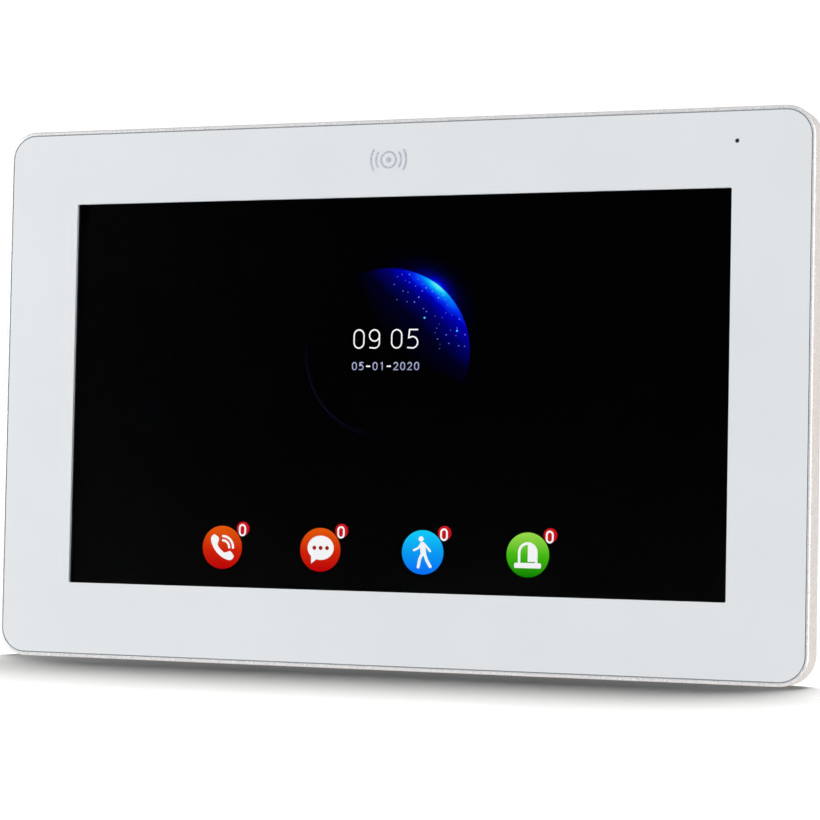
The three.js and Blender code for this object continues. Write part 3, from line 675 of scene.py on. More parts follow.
WHITE_PRINT = PrintedGlass("white_back_print", 0xEDF1F4, 0.32, coat=1.0, unevenness=0.025)
# Grey-green side and back chamfer of the cover glass and walls of its microphone hole: partly the glass's own
# edge tint, partly darkened as painted shade in the gap at the rim.
GLASS_EDGE_AND_GAP_SHADE = PrintedGlass("ground_glass_edge_gap_shade", 0xAEB8BA, 0.3, unevenness=0.1)
CLEAR_GLASS = ClearSheet("clear_cover_glass", 0xFFFFFF, 0.0, unevenness=0.01)
CLEAR_FILM = ClearSheet("clear_touch_film", 0xFFFFFF, 0.0, unevenness=0.01, refraction=1.02)
DISPLAY = NightPlanet("display_picture", 0x000001, 0.25, specular=0.05)
SILVER_RIM = FlakedLacquer("silver_rim_lacquer", 0xE4E4E6, 0.4, 0.3, grain=0.4, depth=0.01, shadow=0xB4B6B9)
PEARL_SIDE = FlakedLacquer(
    "pearl_side_lacquer", 0xCEC4BC, 0.42, 0.15, grain=0.6, flake=0.22, shadow=0xBBB4AC, depth=0.01
)
# Grey of the ledge, also on the walls of the slit round the glass: partly the plastic's own grey, partly
# darkened as painted shade in the gap.
LEDGE_GREY_AND_GAP_SHADE = Finish("frame_ledge_plastic_gap_shade", 0xA0A2A6, 0.6)
SILVER_INK = FlakedLacquer("silver_ink", 0xBEC4D2, 0.4, 0.3, flake=0.25, shadow=0x9AA2B2)
COVER_PLASTIC = Finish("rear_cover_plastic", 0xD5D2CD, 0.55, grain=0.7, depth=0.03, unevenness=0.03)
WHITE_PLASTIC = Finish("white_moulding", 0xECEAE4, 0.45, grain=0.4)
BLACK_PLASTIC = Finish("black_moulding", 0x17171A, 0.42, grain=0.35, depth=0.02, unevenness=0.1)
CHIP_RESIN = Finish("chip_resin", 0x1E1F21, 0.6, grain=0.25, depth=0.02, unevenness=0.1)
RUBBER = Finish("soft_rubber", 0x1C1C1C, 0.85, grain=0.3, depth=0.03, unevenness=0.12)
TAPE = Finish("foam_tape", 0x26282B, 0.9, grain=0.25, depth=0.05, unevenness=0.1)
PAPER = Finish("pressed_paper", 0x2B2C2E, 0.95, grain=0.35, depth=0.06, unevenness=0.12)
FLEX = Finish("polyimide_film", 0xB06A1A, 0.35, grain=0.8, depth=0.01, unevenness=0.12)
LEAD_SLEEVE = Finish("lead_sleeve", 0xA51C24, 0.45, grain=0.5, unevenness=0.1)
FERRITE = Finish("ferrite", 0x3A3B3D, 0.7, metallic=0.2, grain=0.4, depth=0.04, unevenness=0.1)
GREEN_BOARD = BoardLaminate("green_board", 0x114A2A, 0.4)
TIN_CAN = BrushedMetal("tinned_can", 0xB4B8BB, 0.3, 1.0, grain=0.5, depth=0.004)
SCREW_ZINC = BrushedMetal("zinc_screw", 0xA7AAAD, 0.28, 1.0, grain=0.3, depth=0.004, stretch=(1, 1, 1))
SHEET_ZINC = BrushedMetal("zinc_sheet", 0xB9BDC0, 0.38, 1.0, grain=1.1, depth=0.006)
CONTACT_GOLD = BrushedMetal("contact_gold", 0xE0B458, 0.25, 1.0, grain=0.3, depth=0.002, stretch=(1, 1, 1))
LABEL_FOIL = RuledPrint("label_foil", 0xD9DBDC, 0.35)
DUST_CLOTH = WovenCloth("dust_cloth", 0x101012, 0.9)
CERAMIC_TAN = Finish("ceramic_tan", 0xA88A66, 0.5, grain=0.3, unevenness=0.1)
STUDIO_PAPER = Finish("studio_paper", 0x8C8C8B, 0.95, grain=1.2, depth=0.01, unevenness=0.005, specular=0.1)


# ---------------------------------------------------------------- outlines and meshes


def arc(centre: Point, radii: Point, start: float, end: float, steps: int) -> Outline:
    """Points along an elliptical arc.

    Args:
        centre: Centre of the ellipse.
        radii: Its radii along x and z.
        start: First angle in degrees.
        end: Last angle in degrees.
        steps: Number of steps between them.

    Returns:
        The points, both ends included.
    """
    angles = [math.radians(start + (end - start) * step / steps) for step in range(steps + 1)]
    return [(centre[0] + radii[0] * math.cos(a), centre[1] + radii[1] * math.sin(a)) for a in angles]


def circle(centre: Point, radius: float, steps: int = 48) -> Outline:
    """Points of a circle, the first one not repeated."""
    return arc(centre, (radius, radius), 0, 360, steps)[:-1]


def rounded_rectangle(width: float, height: float, radius: float, steps: int = 12) -> Outline:
    """Rounded rectangle about the origin, counter-clockwise seen from the front.

    Args:
        width: Size along x.
        height: Size along z.
        radius: Corner radius.
        steps: Steps in each corner.

    Returns:
        The outline's points.
    """
    across, up = width / 2 - radius, height / 2 - radius
    corners = ((1, 1, 0), (-1, 1, 90), (-1, -1, 180), (1, -1, 270))
    points: Outline = []
    for side_x, side_z, start in corners:
        points += arc((side_x * across, side_z * up), (radius, radius), start, start + 90, steps)
    return points


def shifted(points: Iterable[Point], offset: Point, scale: float = 1.0) -> Outline:
    """Copy of the points, scaled about the origin and then moved."""
    return [(offset[0] + scale * x, offset[1] + scale * z) for x, z in points]


def stroke_sides(points: Sequence[Point], width: float, closed: bool) -> tuple[Outline, Outline]:
    """Left and right edge of a stroke with mitred corners and, when open, round ends.

    Args:
        points: Centre line of the stroke.
        width: Stroke width.
        closed: Whether the centre line runs back to its first point.

    Returns:
        The left edge and the right edge, with as many points each.
    """
    line = [Vector(point) for point in points]
    count = len(line)
    left: Outline = []
    right: Outline = []
    for index, here in enumerate(line):
        before = line[index - 1] if closed or index else here
        after = line[(index + 1) % count] if closed or index < count - 1 else here
        incoming = (here - before).normalized() if here != before else (after - here).normalized()
        outgoing = (after - here).normalized() if after != here else incoming
        middle = (incoming + outgoing).normalized()
        across = Vector((-middle.y, middle.x))
        reach = width / 2 / max(0.5, middle.dot(incoming))
        left.append(tuple(here + across * reach))
        right.append(tuple(here - across * reach))
    if closed:
        return left, right
    for at_start in (True, False):
        tip = line[0] if at_start else line[-1]
        inward = line[1] if at_start else line[-2]
        out = (tip - inward).normalized()
        side = Vector((out.y, -out.x)) if at_start else Vector((-out.y, out.x))
        for turn in (30, 60, 82):
            angle = math.radians(turn)
            base = tip + out * math.sin(angle) * width / 2
            spread = side * math.cos(angle) * width / 2
            place = 0 if at_start else len(left)
            left.insert(place, tuple(base + spread))
            right.insert(place, tuple(base - spread))
    return left, right


def ring_at(shape: bmesh.types.BMesh, outline: Iterable[Point], y: float) -> list[bmesh.types.BMVert]:
    """Adds an outline's points to a mesh at one y, all in millimetres."""
    return [shape.verts.new((x * MM, y * MM, z * MM)) for x, z in outline]


def wall(
    shape: bmesh.types.BMesh, first: Sequence[Any], second: Sequence[Any], finish: int = 0
) -> None:
    """Joins two rings of as many vertices by a band of faces.

    Args:
        shape: The mesh they are in.
        first: The ring that each face starts at.
        second: The ring that it runs to.
        finish: Finish number of the band.
    """
    for index in range(len(first)):
        after = (index + 1) % len(first)
        corners = (first[index], first[after], second[after], second[index])
        shape.faces.new(corners).material_index = finish


def prism(
    shape: bmesh.types.BMesh, outline: Sequence[Point], front: float, back: float, finish: int = 0
) -> None:
    """Adds a flat shape with straight sides.

    Args:
        shape: The mesh it goes into.
        outline: Its outline, counter-clockwise from the front.
        front: y of its front.
        back: y of its back.
        finish: Finish number of its faces.
    """
    near, far = ring_at(shape, outline, front), ring_at(shape, outline, back)
    for face in (near, far[::-1]):
        shape.faces.new(face).material_index = finish
    wall(shape, far, near, finish)


class Relief:
    """Flat shapes with a small thickness, gathered into one mesh with several finishes."""

    def __init__(self, finishes: Sequence[Finish], front: float, thickness: float) -> None:
        """Starts an empty relief whose first layer's front is at y = front."""
        self.mesh = bmesh.new()
        self.finishes = list(finishes)
        self.front = front
        self.thickness = thickness

    def levels(self, layer: int) -> tuple[float, float]:
        """Front and back y of a layer; a higher layer is nearer the viewer."""
        front = self.front - layer * self.thickness * 1.6
        return front, front + self.thickness

    def area(self, outline: Sequence[Point], finish: int = 0, layer: int = 0) -> None:
        """Adds a filled shape.

        Args:
            outline: Its outline, counter-clockwise.
            finish: Number of its finish.
            layer: Which layer it lies in.
        """
        prism(self.mesh, outline, *self.levels(layer), finish)

    def stroke(
        self, points: Sequence[Point], width: float, finish: int = 0, layer: int = 0, closed: bool = False
    ) -> None:
        """Adds a line of even width.

        Args:
            points: Its centre line.
            width: Its width.
            finish: Number of its finish.
            layer: Which layer it lies in.
            closed: Whether it runs back to its first point.
        """
        left, right = stroke_sides(points, width, closed)
        if not closed:
            self.area(right + left[::-1], finish, layer)
            return
        front, back = self.levels(layer)
        edges = ((left, front), (right, front), (right, back), (left, back))
        rails = [ring_at(self.mesh, side, y) for side, y in edges]
        for first, second in zip(rails, rails[1:] + rails[:1]):
            wall(self.mesh, second, first, finish)

    def piece(self, name: str, slot: str) -> bpy.types.Object:
        """Turns the relief into a finished piece on the monitor.

        Args:
            name: Name of the piece.
            slot: Material slot of the record.

        Returns:
            The piece.
        """
        return finished(name, self.mesh, self.finishes, Body.MONITOR, slot, recalculate=True)


def finished(
    name: str,
    shape: bmesh.types.BMesh,
    finishes: Sequence[Finish],
    body: Body,
    slot: str,
    nodes: Sequence[str] = (),
    recalculate: bool = False,
    crease: float = 35.0,
) -> bpy.types.Object:
    """Makes a piece of a mesh: smooth shading with sharp creases, finishes and body.

    Args:
        name: Name of the piece.
        shape: Its mesh in metres, in the frame; it is freed here.
        finishes: Its finishes in the order of the faces' numbers.
        body: The body it rides on.
        slot: Material slot of the record; not used.
        nodes: CAD nodes that it stands for.
        recalculate: Whether the faces are turned outwards first.
        crease: Angle in degrees past which an edge stays sharp.

    Returns:
        The piece.
    """
    if recalculate:
        bmesh.ops.recalc_face_normals(shape, faces=shape.faces)
    data = bpy.data.meshes.new(name)
    shape.to_mesh(data)
    shape.free()
    return dressed(name, data, finishes, body, nodes, crease)


def dressed(
    name: str,
    data: bpy.types.Mesh,
    finishes: Sequence[Finish],
    body: Body,
    nodes: Sequence[str] = (),
    crease: float = 35.0,
) -> bpy.types.Object:
    """Makes a piece of mesh data that is already complete; the arguments are those of finished."""
    numbers = [face.material_index for face in data.polygons]
    data.materials.clear()
    for finish in finishes:
        data.materials.append(finish.material())
    data.polygons.foreach_set("material_index", numbers)
    data.polygons.foreach_set("use_smooth", [True] * len(data.polygons))
    data.set_sharp_from_angle(angle=math.radians(crease))
    made = bpy.data.objects.new(name, data)
    bpy.context.scene.collection.objects.link(made)
    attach(made, body.value)
    if nodes:
        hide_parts(*nodes)
    weighted = made.modifiers.new("flat_faces", "WEIGHTED_NORMAL")
    weighted.keep_sharp = True
    log.info("%s: %d faces on %s", name, len(data.polygons), body.value)
    return made


def lofted(
    rings: Sequence[tuple[Outline, float]], bands: Sequence[int], caps: tuple[int, int]
) -> bmesh.types.BMesh:
    """Closed skin through outlines of as many points each, given from the back to the front.

    Args:
        rings: Each outline and its y in millimetres.
        bands: Finish number of each stretch between two rings.
        caps: Finish number of the back and of the front face.

    Returns:
        The mesh in metres.
    """
    shape = bmesh.new()
    rows = [ring_at(shape, outline, y) for outline, y in rings]
    for finish, back, front in zip(bands, rows, rows[1:]):
        wall(shape, back, front, finish)
    shape.faces.new(rows[0][::-1]).material_index = caps[0]
    shape.faces.new(rows[-1]).material_index = caps[1]
    return shape


def turned(profile: Sequence[Point], centre: Point, steps: int = 64) -> bmesh.types.BMesh:
    """Solid of revolution about the y axis through a centre.

    Args:
        profile: Radius and y in millimetres of each point of the closed section; the ends may
            lie on the axis.
        centre: x and z of the axis.
        steps: Facets around.

    Returns:
        The mesh in metres.
    """
    shape = bmesh.new()
    rows = []
    for radius, y in profile:
        ring = [(centre[0], centre[1])] if radius == 0 else circle(centre, radius, steps)
        rows.append(ring_at(shape, ring, y))
    open_ended = profile[0][0] == 0
    pairs = zip(rows, rows[1:] + ([] if open_ended else rows[:1]))
    for first, second in pairs:
        for index in range(steps):
            after = (index + 1) % steps
            corners = [first[index % len(first)], first[after % len(first)]]
            corners += [second[after % len(second)], second[index % len(second)]]
            unique = list(dict.fromkeys(corners))
            if len(unique) > 2:
                shape.faces.new(unique)
    bmesh.ops.recalc_face_normals(shape, faces=shape.faces)
    return shape


def block(shape: bmesh.types.BMesh, low: Sequence[float], high: Sequence[float], finish: int = 0) -> None:
    """Adds a box between two corners in millimetres.

    Args:
        shape: The mesh it goes into.
        low: Lowest corner.
        high: Highest corner.
        finish: Finish number of its faces.
    """
    size = [top - bottom for bottom, top in zip(low, high)]
    middle = [(top + bottom) / 2 for bottom, top in zip(low, high)]
    place = Matrix.Translation(Vector(middle) * MM) @ Matrix.Diagonal((*(s * MM for s in size), 1))
    made = bmesh.ops.create_cube(shape, size=1.0, matrix=place)
    for face in {face for vertex in made["verts"] for face in vertex.link_faces}:
        face.material_index = finish


def refined(
    node: str, finish: Finish, body: Body, slot: str, edge: float = 0.2, segments: int = 2
) -> bpy.types.Object:
    """Finer copy of a CAD node: merged, its flat faces made whole, its edges rounded.

    Args:
        node: The CAD node, which the copy stands for.
        finish: Its finish.
        body: The body it rides on.
        slot: Material slot of the record.
        edge: Radius of the edges in millimetres.
        segments: Facets of each rounded edge.

    Returns:
        The piece.
    """
    shape = bmesh.new()
    shape.from_mesh(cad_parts[node].data)
    bmesh.ops.remove_doubles(shape, verts=shape.verts, dist=0.0005 * MM)
    bmesh.ops.dissolve_limit(
        shape, angle_limit=math.radians(0.5), verts=shape.verts, edges=shape.edges, delimit=set()
    )
    piece = finished(f"{node}_fine", shape, [finish], body, slot, [node])
    bevel = piece.modifiers.new("edge_rounding", "BEVEL")
    bevel.width = edge * MM
    bevel.segments = segments
    bevel.limit_method = "ANGLE"
    bevel.angle_limit = math.radians(40)
    bevel.use_clamp_overlap = True
    bevel.miter_outer = "MITER_ARC"
    piece.modifiers.move(1, 0)
    return piece


# ---------------------------------------------------------------- geometry node tools


def evaluated(carrier: bpy.types.Object, tree: bpy.types.NodeTree, values: dict[str, Any]) -> bpy.types.Mesh:
    """Runs a Geometry Nodes tree on an object and keeps its result as a plain mesh.

    Args:
        carrier: The object whose mesh goes into the tree; it is removed here.
        tree: The tree.
        values: Value of each named input.

    Returns:
        The resulting mesh.
    """
    modifier = carrier.modifiers.new(tree.name, "NODES")
    modifier.node_group = tree
    for item in tree.interface.items_tree:
        if item.item_type == "SOCKET" and item.in_out == "INPUT" and item.name in values:
            modifier[item.identifier] = values[item.name]
    carrier.update_tag()
    graph = bpy.context.evaluated_depsgraph_get()
    data = bpy.data.meshes.new_from_object(carrier.evaluated_get(graph))
    carrier.modifiers.remove(modifier)
    bpy.data.objects.remove(carrier)
    return data


def carrier_of(
    name: str, points: Sequence[Sequence[float]], edges: Any = (), faces: Any = ()
) -> bpy.types.Object:
    """Helper object that holds the mesh a tree starts from.

    Args:
        name: Name of the object.
        points: Its vertices in millimetres.
        edges: Its edges.
        faces: Its faces.

    Returns:
        The object, in the scene.
    """
    data = bpy.data.meshes.new(name)
    data.from_pydata([[value * MM for value in point] for point in points], list(edges), list(faces))
    made = bpy.data.objects.new(name, data)
    bpy.context.scene.collection.objects.link(made)
    return made


def paint(
    graph: Graph, made: bpy.types.NodeSocket, material: bpy.types.NodeSocket, result: bpy.types.Node
) -> None:
    """Ends a tree: makes its instances real and sets their material.

    Args:
        graph: The tree's graph.
        made: The geometry.
        material: The material.
        result: The tree's output node.
    """
    whole = graph.add("GeometryNodeRealizeInstances", {0: made})
    painted = graph.add("GeometryNodeSetMaterial", {"Geometry": whole.outputs[0], "Material": material})
    graph.feed(result.inputs[0], painted.outputs[0])


def swept_frame() -> bpy.types.NodeTree:
    """Tree that sweeps a closed section round a rounded rectangle in the x-z plane."""

    def wire(graph: Graph, given: bpy.types.Node, result: bpy.types.Node) -> None:
        """The section's x runs outwards from the rectangle and its y along the frame's y."""
        sockets = given.outputs
        path = graph.add(
            "GeometryNodeCurvePrimitiveQuadrilateral",
            {"Width": sockets["Width"], "Height": sockets["Height"]},
        )
        fillet = graph.add(
            "GeometryNodeFilletCurve",
            {"Curve": path.outputs[0], "Count": sockets["Corner Steps"], "Radius": sockets["Corner"]},
            mode="POLY",
        )
        upright = graph.add("GeometryNodeSetCurveNormal", {"Curve": fillet.outputs[0]}, mode="Z_UP")
        section = graph.add("GeometryNodeMeshToCurve", {"Mesh": sockets["Section"]})
        skin = graph.add(
            "GeometryNodeCurveToMesh",
            {"Curve": upright.outputs[0], "Profile Curve": section.outputs[0]},
        )
        stood = graph.add(
            "GeometryNodeTransform",
            {"Geometry": skin.outputs[0], "Rotation": (math.pi / 2, 0.0, 0.0)},
        )
        paint(graph, stood.outputs[0], sockets["Material"], result)

    return node_group(
        "swept_frame",
        "GeometryNodeTree",
        [
            ("Section", GEOMETRY, None),
            ("Width", FLOAT, 0.27),
            ("Height", FLOAT, 0.17),
            ("Corner", FLOAT, 0.008),
            ("Corner Steps", INTEGER, 12),
            ("Material", MATERIAL, None),
        ],
        [("Frame", GEOMETRY)],
        wire,
    )


def repeated_part() -> bpy.types.NodeTree:
    """Tree that puts a part on every point of a mesh, each turned on from the last."""

    def wire(graph: Graph, given: bpy.types.Node, result: bpy.types.Node) -> None:
        """The turn is about the frame's y, and a seeded draw varies it."""
        sockets = given.outputs
        part = graph.add("GeometryNodeObjectInfo", {"Object": sockets["Part"]})
        index = graph.add("GeometryNodeInputIndex").outputs[0]
        draw = graph.add(
            "FunctionNodeRandomValue", {"Seed": sockets["Seed"], "ID": index}, data_type="FLOAT"
        ).outputs["Value"]
        turn = graph.math(
            "ADD",
            graph.math("MULTIPLY", index, sockets["Turn Step"]),
            graph.math("MULTIPLY", draw, sockets["Turn Spread"]),
        )
        rotation = graph.add("ShaderNodeCombineXYZ", {"Y": turn}).outputs[0]
        copies = graph.add(
            "GeometryNodeInstanceOnPoints",
            {"Points": sockets["Places"], "Instance": part.outputs["Geometry"], "Rotation": rotation},
        )
        paint(graph, copies.outputs[0], sockets["Material"], result)

    return node_group(
        "repeated_part",
        "GeometryNodeTree",
        [
            ("Places", GEOMETRY, None),
            ("Part", "NodeSocketObject", None),
            ("Turn Step", FLOAT, 0.0),
            ("Turn Spread", FLOAT, 0.0),
            ("Seed", INTEGER, 1),
            ("Material", MATERIAL, None),
        ],
        [("Parts", GEOMETRY)],
        wire,
    )


def scattered_part() -> bpy.types.NodeTree:
    """Tree that scatters a part over faces, a least distance apart and of uneven size."""

    def wire(graph: Graph, given: bpy.types.Node, result: bpy.types.Node) -> None:
        """Every part is turned by whole steps about the frame's y and scaled by a draw."""
        sockets = given.outputs
        points = graph.add(
            "GeometryNodeDistributePointsOnFaces",
            {
                "Mesh": sockets["Ground"],
                "Distance Min": sockets["Spacing"],
                "Density Max": sockets["Density"],
                "Seed": sockets["Seed"],
            },
            distribute_method="POISSON",
        )
        part = graph.add("GeometryNodeObjectInfo", {"Object": sockets["Part"]})
        draws = [
            graph.add(
                "FunctionNodeRandomValue",
                {"Seed": graph.math("ADD", sockets["Seed"], float(offset))},
                data_type="FLOAT",
            ).outputs["Value"]
            for offset in (1, 2)
        ]
        steps = graph.math("FLOOR", graph.math("MULTIPLY", draws[0], 4.0))
        turn = graph.math("MULTIPLY", steps, sockets["Turn Step"])
        grown = graph.math("ADD", 1.0, graph.math("MULTIPLY", draws[1], sockets["Size Spread"]))
        copies = graph.add(
            "GeometryNodeInstanceOnPoints",
            {
                "Points": points.outputs[0],
                "Instance": part.outputs["Geometry"],
                "Rotation": graph.add("ShaderNodeCombineXYZ", {"Y": turn}).outputs[0],
                "Scale": graph.add("ShaderNodeCombineXYZ", {"X": grown, "Y": 1.0, "Z": grown}).outputs[0],
            },
        )
        paint(graph, copies.outputs[0], sockets["Material"], result)

    return node_group(
        "scattered_part",
        "GeometryNodeTree",
        [
            ("Ground", GEOMETRY, None),
            ("Part", "NodeSocketObject", None),
            ("Spacing", FLOAT, 0.003),
            ("Density", FLOAT, 20000.0),
            ("Turn Step", FLOAT, 0.0),
            ("Size Spread", FLOAT, 0.0),
            ("Seed", INTEGER, 1),
            ("Material", MATERIAL, None),
        ],
        [("Parts", GEOMETRY)],
        wire,
    )


def part_object(name: str, shape: bmesh.types.BMesh) -> bpy.types.Object:
    """Helper object for a part that a tree repeats; the caller removes it afterwards."""
    data = bpy.data.meshes.new(name)
    shape.to_mesh(data)
    shape.free()
    made = bpy.data.objects.new(name, data)
    bpy.context.scene.collection.objects.link(made)
    return made


def repeat_part(
    name: str,
    part: bpy.types.Object,
    carrier: bpy.types.Object,
    tree: bpy.types.NodeTree,
    finish: Finish,
    slot: str,
    body: Body = Body.MONITOR,
    nodes: Sequence[str] = (),
    **values: float,
) -> None:
    """Makes one piece of the copies of a part that a tree puts on a carrier.

    Args:
        name: Name of the piece.
        part: The part; it is removed here.
        carrier: Object with the places or the ground; it is removed here.
        tree: The tree.
        finish: Finish of the copies.
        slot: Material slot of the record; not used.
        body: The body that the piece rides on.
        nodes: CAD nodes that it stands for.
        values: The tree's other inputs, in lower case with underscores.
    """
    inputs = {key.replace("_", " ").title(): value for key, value in values.items()}
    data = evaluated(carrier, tree, {"Part": part, "Material": finish.material(), **inputs})
    bpy.data.objects.remove(part)
    dressed(name, data, [finish], body, nodes)


def cut_out(piece: bpy.types.Object, tools: Sequence[bpy.types.Object]) -> None:
    """Takes solid tools out of an object's mesh; the tools are removed."""
    cutters = [piece.modifiers.new(tool.name, "BOOLEAN") for tool in tools]
    for cutter, tool in zip(cutters, tools):
        cutter.operation = "DIFFERENCE"
        cutter.solver = "EXACT"
        cutter.object = tool
    graph = bpy.context.evaluated_depsgraph_get()
    data = bpy.data.meshes.new_from_object(piece.evaluated_get(graph))
    for cutter in cutters:
        piece.modifiers.remove(cutter)
    for tool in tools:
        bpy.data.objects.remove(tool)
    piece.data = data


# ---------------------------------------------------------------- front


CASE_SCREW_PLACES: tuple[Point, ...] = (
    (-126.5, 77.0), (126.5, 77.0), (0.0, 79.0), (-126.5, -77.0), (126.5, -77.0), (0.0, -79.0)
)


@dataclass
class FrontGlass:
    """Cover glass: a white printed border round a clear window, with a microphone hole."""

    width: float = 271.4
    height: float = 171.6
    corner: float = 8.0
    front: float = -23.9
    back: float = -22.1
    edge: float = 0.25
    window: Point = (222.72, 125.28)
    window_corner: float = 0.5
    mic: Point = (112.8, 76.8)
    mic_radius: float = 0.675

    def build(self) -> None:
        """Builds the slab and cuts the hole."""
        outer = rounded_rectangle(self.width, self.height, self.corner)
        window = rounded_rectangle(*self.window, self.window_corner)
        rings = [(window, self.back), (self.inset(self.edge), self.back), (outer, self.back - self.edge)]
        for step in range(4):
            angle = math.radians(30 * step)
            drawn_in = self.edge * (1 - math.cos(angle))
            level = self.front + self.edge * (1 - math.sin(angle))
            rings.append((self.inset(drawn_in), level))
        rings.append((window, self.front))
        # Bands 1 and 2, the back chamfer and the side, take the darker edge grey as painted shade for the gap
        # at the rim.
        shape = lofted(rings, [0, 2, 2, 0, 0, 0, 0], (1, 1))
        finishes = [WHITE_PRINT, CLEAR_GLASS, GLASS_EDGE_AND_GAP_SHADE]
        slab = finished(
            "front_glass_panel", shape, finishes, Body.MONITOR, "front_glass", ["cover_glass"], crease=50
        )
        self.cut_hole(slab)

    def inset(self, distance: float) -> Outline:
        """Outline of the glass drawn in by a distance."""
        return rounded_rectangle(
            self.width - 2 * distance, self.height - 2 * distance, self.corner - distance
        )

    def cut_hole(self, slab: bpy.types.Object) -> None:
        """Takes the microphone hole out of the slab's mesh.

        Args:
            slab: The glass.
        """
        low, high, radius = self.front - 1, self.back + 1, self.mic_radius
        profile = [(0, low), (radius, low), (radius, high), (0, high)]
        drill = part_object("mic_drill", turned(profile, self.mic, 24))
        # The hole's walls take the same edge grey, darkened in part as painted shade.
        drill.data.materials.append(GLASS_EDGE_AND_GAP_SHADE.material())
        cut_out(slab, [drill])


@dataclass
class DoorbellMark:
    """Plain printed sign above the screen: a ring, its button and two sound arcs each side."""

    middle: Point = (-0.5, 74.3)
    ring: float = 2.5
    button: float = 0.9
    line: float = 0.62
    front: float = -23.95

    def build(self) -> None:
        """Prints the sign in silver ink on the glass."""
        print_relief = Relief([SILVER_INK], self.front, 0.04)
        print_relief.stroke(circle(self.middle, self.ring), self.line, closed=True)
        print_relief.area(circle(self.middle, self.button, 24))
        for number in (1, 2):
            radius = self.ring + 1.75 * number
            for side in (0, 180):
                bow = arc(self.middle, (radius, radius), side - 32, side + 32, 14)
                print_relief.stroke(bow, self.line)
        print_relief.piece("front_sign", "rim_silver")


@dataclass
class FrontFrame:
    """Moulded surround: a swept rim and side wall, and the ledge that the glass rests on."""

    width: float = 274.3
    height: float = 174.5
    corner: float = 9.5
    front: float = -24.0
    back: float = -14.2
    rim_radius: float = 1.0
    rim_width: float = 1.15
    rim_edge: float = 0.05
    lacquer_depth: float = 0.3
    shoulder_depth: float = 0.45
    shoulder_width: float = 0.27
    wall: float = 2.0
    ledge_front: float = -21.6
    ledge_back: float = -20.0
    step_width: float = 5.0
    seam: float = 0.02
    window: Point = (237.2, 145.2)
    window_corner: float = 1.5
    boss: tuple[Point, ...] = ((1.5, -0.02), (3.5, -0.02), (3.5, 5.6), (3.3, 5.8), (1.5, 5.8))

    def build(self) -> None:
        """Builds both pieces."""
        self.build_surround()
        self.build_ledge()

    def section(self) -> Outline:
        """Closed section as (outward, y), counter-clockwise from the inside of the wall's back."""
        points: Outline = [(0.0, self.back), (0.0, self.front + self.rim_radius)]
        for step in range(1, 7):
            angle = math.radians(15 * step)
            drawn_in = self.rim_radius * (1 - math.cos(angle))
            level = self.front + self.rim_radius * (1 - math.sin(angle))
            points.append((-drawn_in, level))
        shoulder, deep = self.front + self.shoulder_depth, -self.rim_width - self.shoulder_width
        points += [
            (-self.rim_width + self.rim_edge, self.front),
            (-self.rim_width, self.front + self.rim_edge),
            (-self.rim_width, shoulder),
            (deep, shoulder),
            (deep, self.ledge_front),
            (-self.step_width, self.ledge_front),
            (-self.step_width, self.ledge_back),
            (-self.wall, self.ledge_back),
            (-self.wall, self.back),
        ]
        return points[::-1]

    def build_surround(self) -> None:
        """Sweeps the section and gives the rim and the side wall their own lacquer, and the slit walls a
        darker grey as painted shade in the gap.
        """
        section = self.section()
        edges = [(index, (index + 1) % len(section)) for index in range(len(section))]
        carrier = carrier_of("surround_section", [(u, y, 0.0) for u, y in section], edges)
        data = evaluated(
            carrier,
            swept_frame(),
            {
                "Width": self.width * MM,
                "Height": self.height * MM,
                "Corner": self.corner * MM,
                "Corner Steps": 16,
                "Material": PEARL_SIDE.material(),
            },
        )
        finishes = [PEARL_SIDE, SILVER_RIM, LEDGE_GREY_AND_GAP_SHADE]
        surround = dressed(
            "frame_surround", data, finishes, Body.MONITOR, ["front_frame"], crease=40
        )
        # Front faces take the silver lacquer; faces deep in the slit and at the back take the ledge grey,
        # darkened as painted shade in the gap.
        for face in surround.data.polygons:
            centre = face.center / MM
            if centre.y < self.front + self.lacquer_depth:
                face.material_index = 1
            elif self.depth_inside(centre.x, centre.z) > self.rim_width or centre.y > self.back - 0.01:
                face.material_index = 2

    def depth_inside(self, x: float, z: float) -> float:
        """Distance from a point of the front view to the outline of the casing."""
        over_x = abs(x) - self.width / 2 + self.corner
        over_z = abs(z) - self.height / 2 + self.corner
        return self.corner - math.hypot(max(over_x, 0.0), max(over_z, 0.0)) - min(max(over_x, over_z), 0.0)

    def build_ledge(self) -> None:
        """Builds the flat ledge between the swept step and the window, with its screw bosses."""
        drawn_in = self.step_width + self.seam
        outer = rounded_rectangle(
            self.width - 2 * drawn_in, self.height - 2 * drawn_in, self.corner - drawn_in, 6
        )
        window = rounded_rectangle(*self.window, self.window_corner, 6)
        front, back = self.ledge_front, self.ledge_back
        shape = bmesh.new()
        rings = ((outer, back), (outer, front), (window, front), (window, back))
        rows = [ring_at(shape, outline, y) for outline, y in rings]
        for first, second in zip(rows, rows[1:] + rows[:1]):
            wall(shape, first, second)
        finished("frame_ledge", shape, [LEDGE_GREY_AND_GAP_SHADE], Body.MONITOR, "casing", recalculate=True)
        boss = part_object("frame_boss", turned(self.boss, (0, 0), 32))
        carrier = carrier_of("boss_places", [(x, back + 2 * self.seam, z) for x, z in CASE_SCREW_PLACES])
        repeat_part("frame_bosses", boss, carrier, repeated_part(), LEDGE_GREY_AND_GAP_SHADE, "casing")


# ---------------------------------------------------------------- display


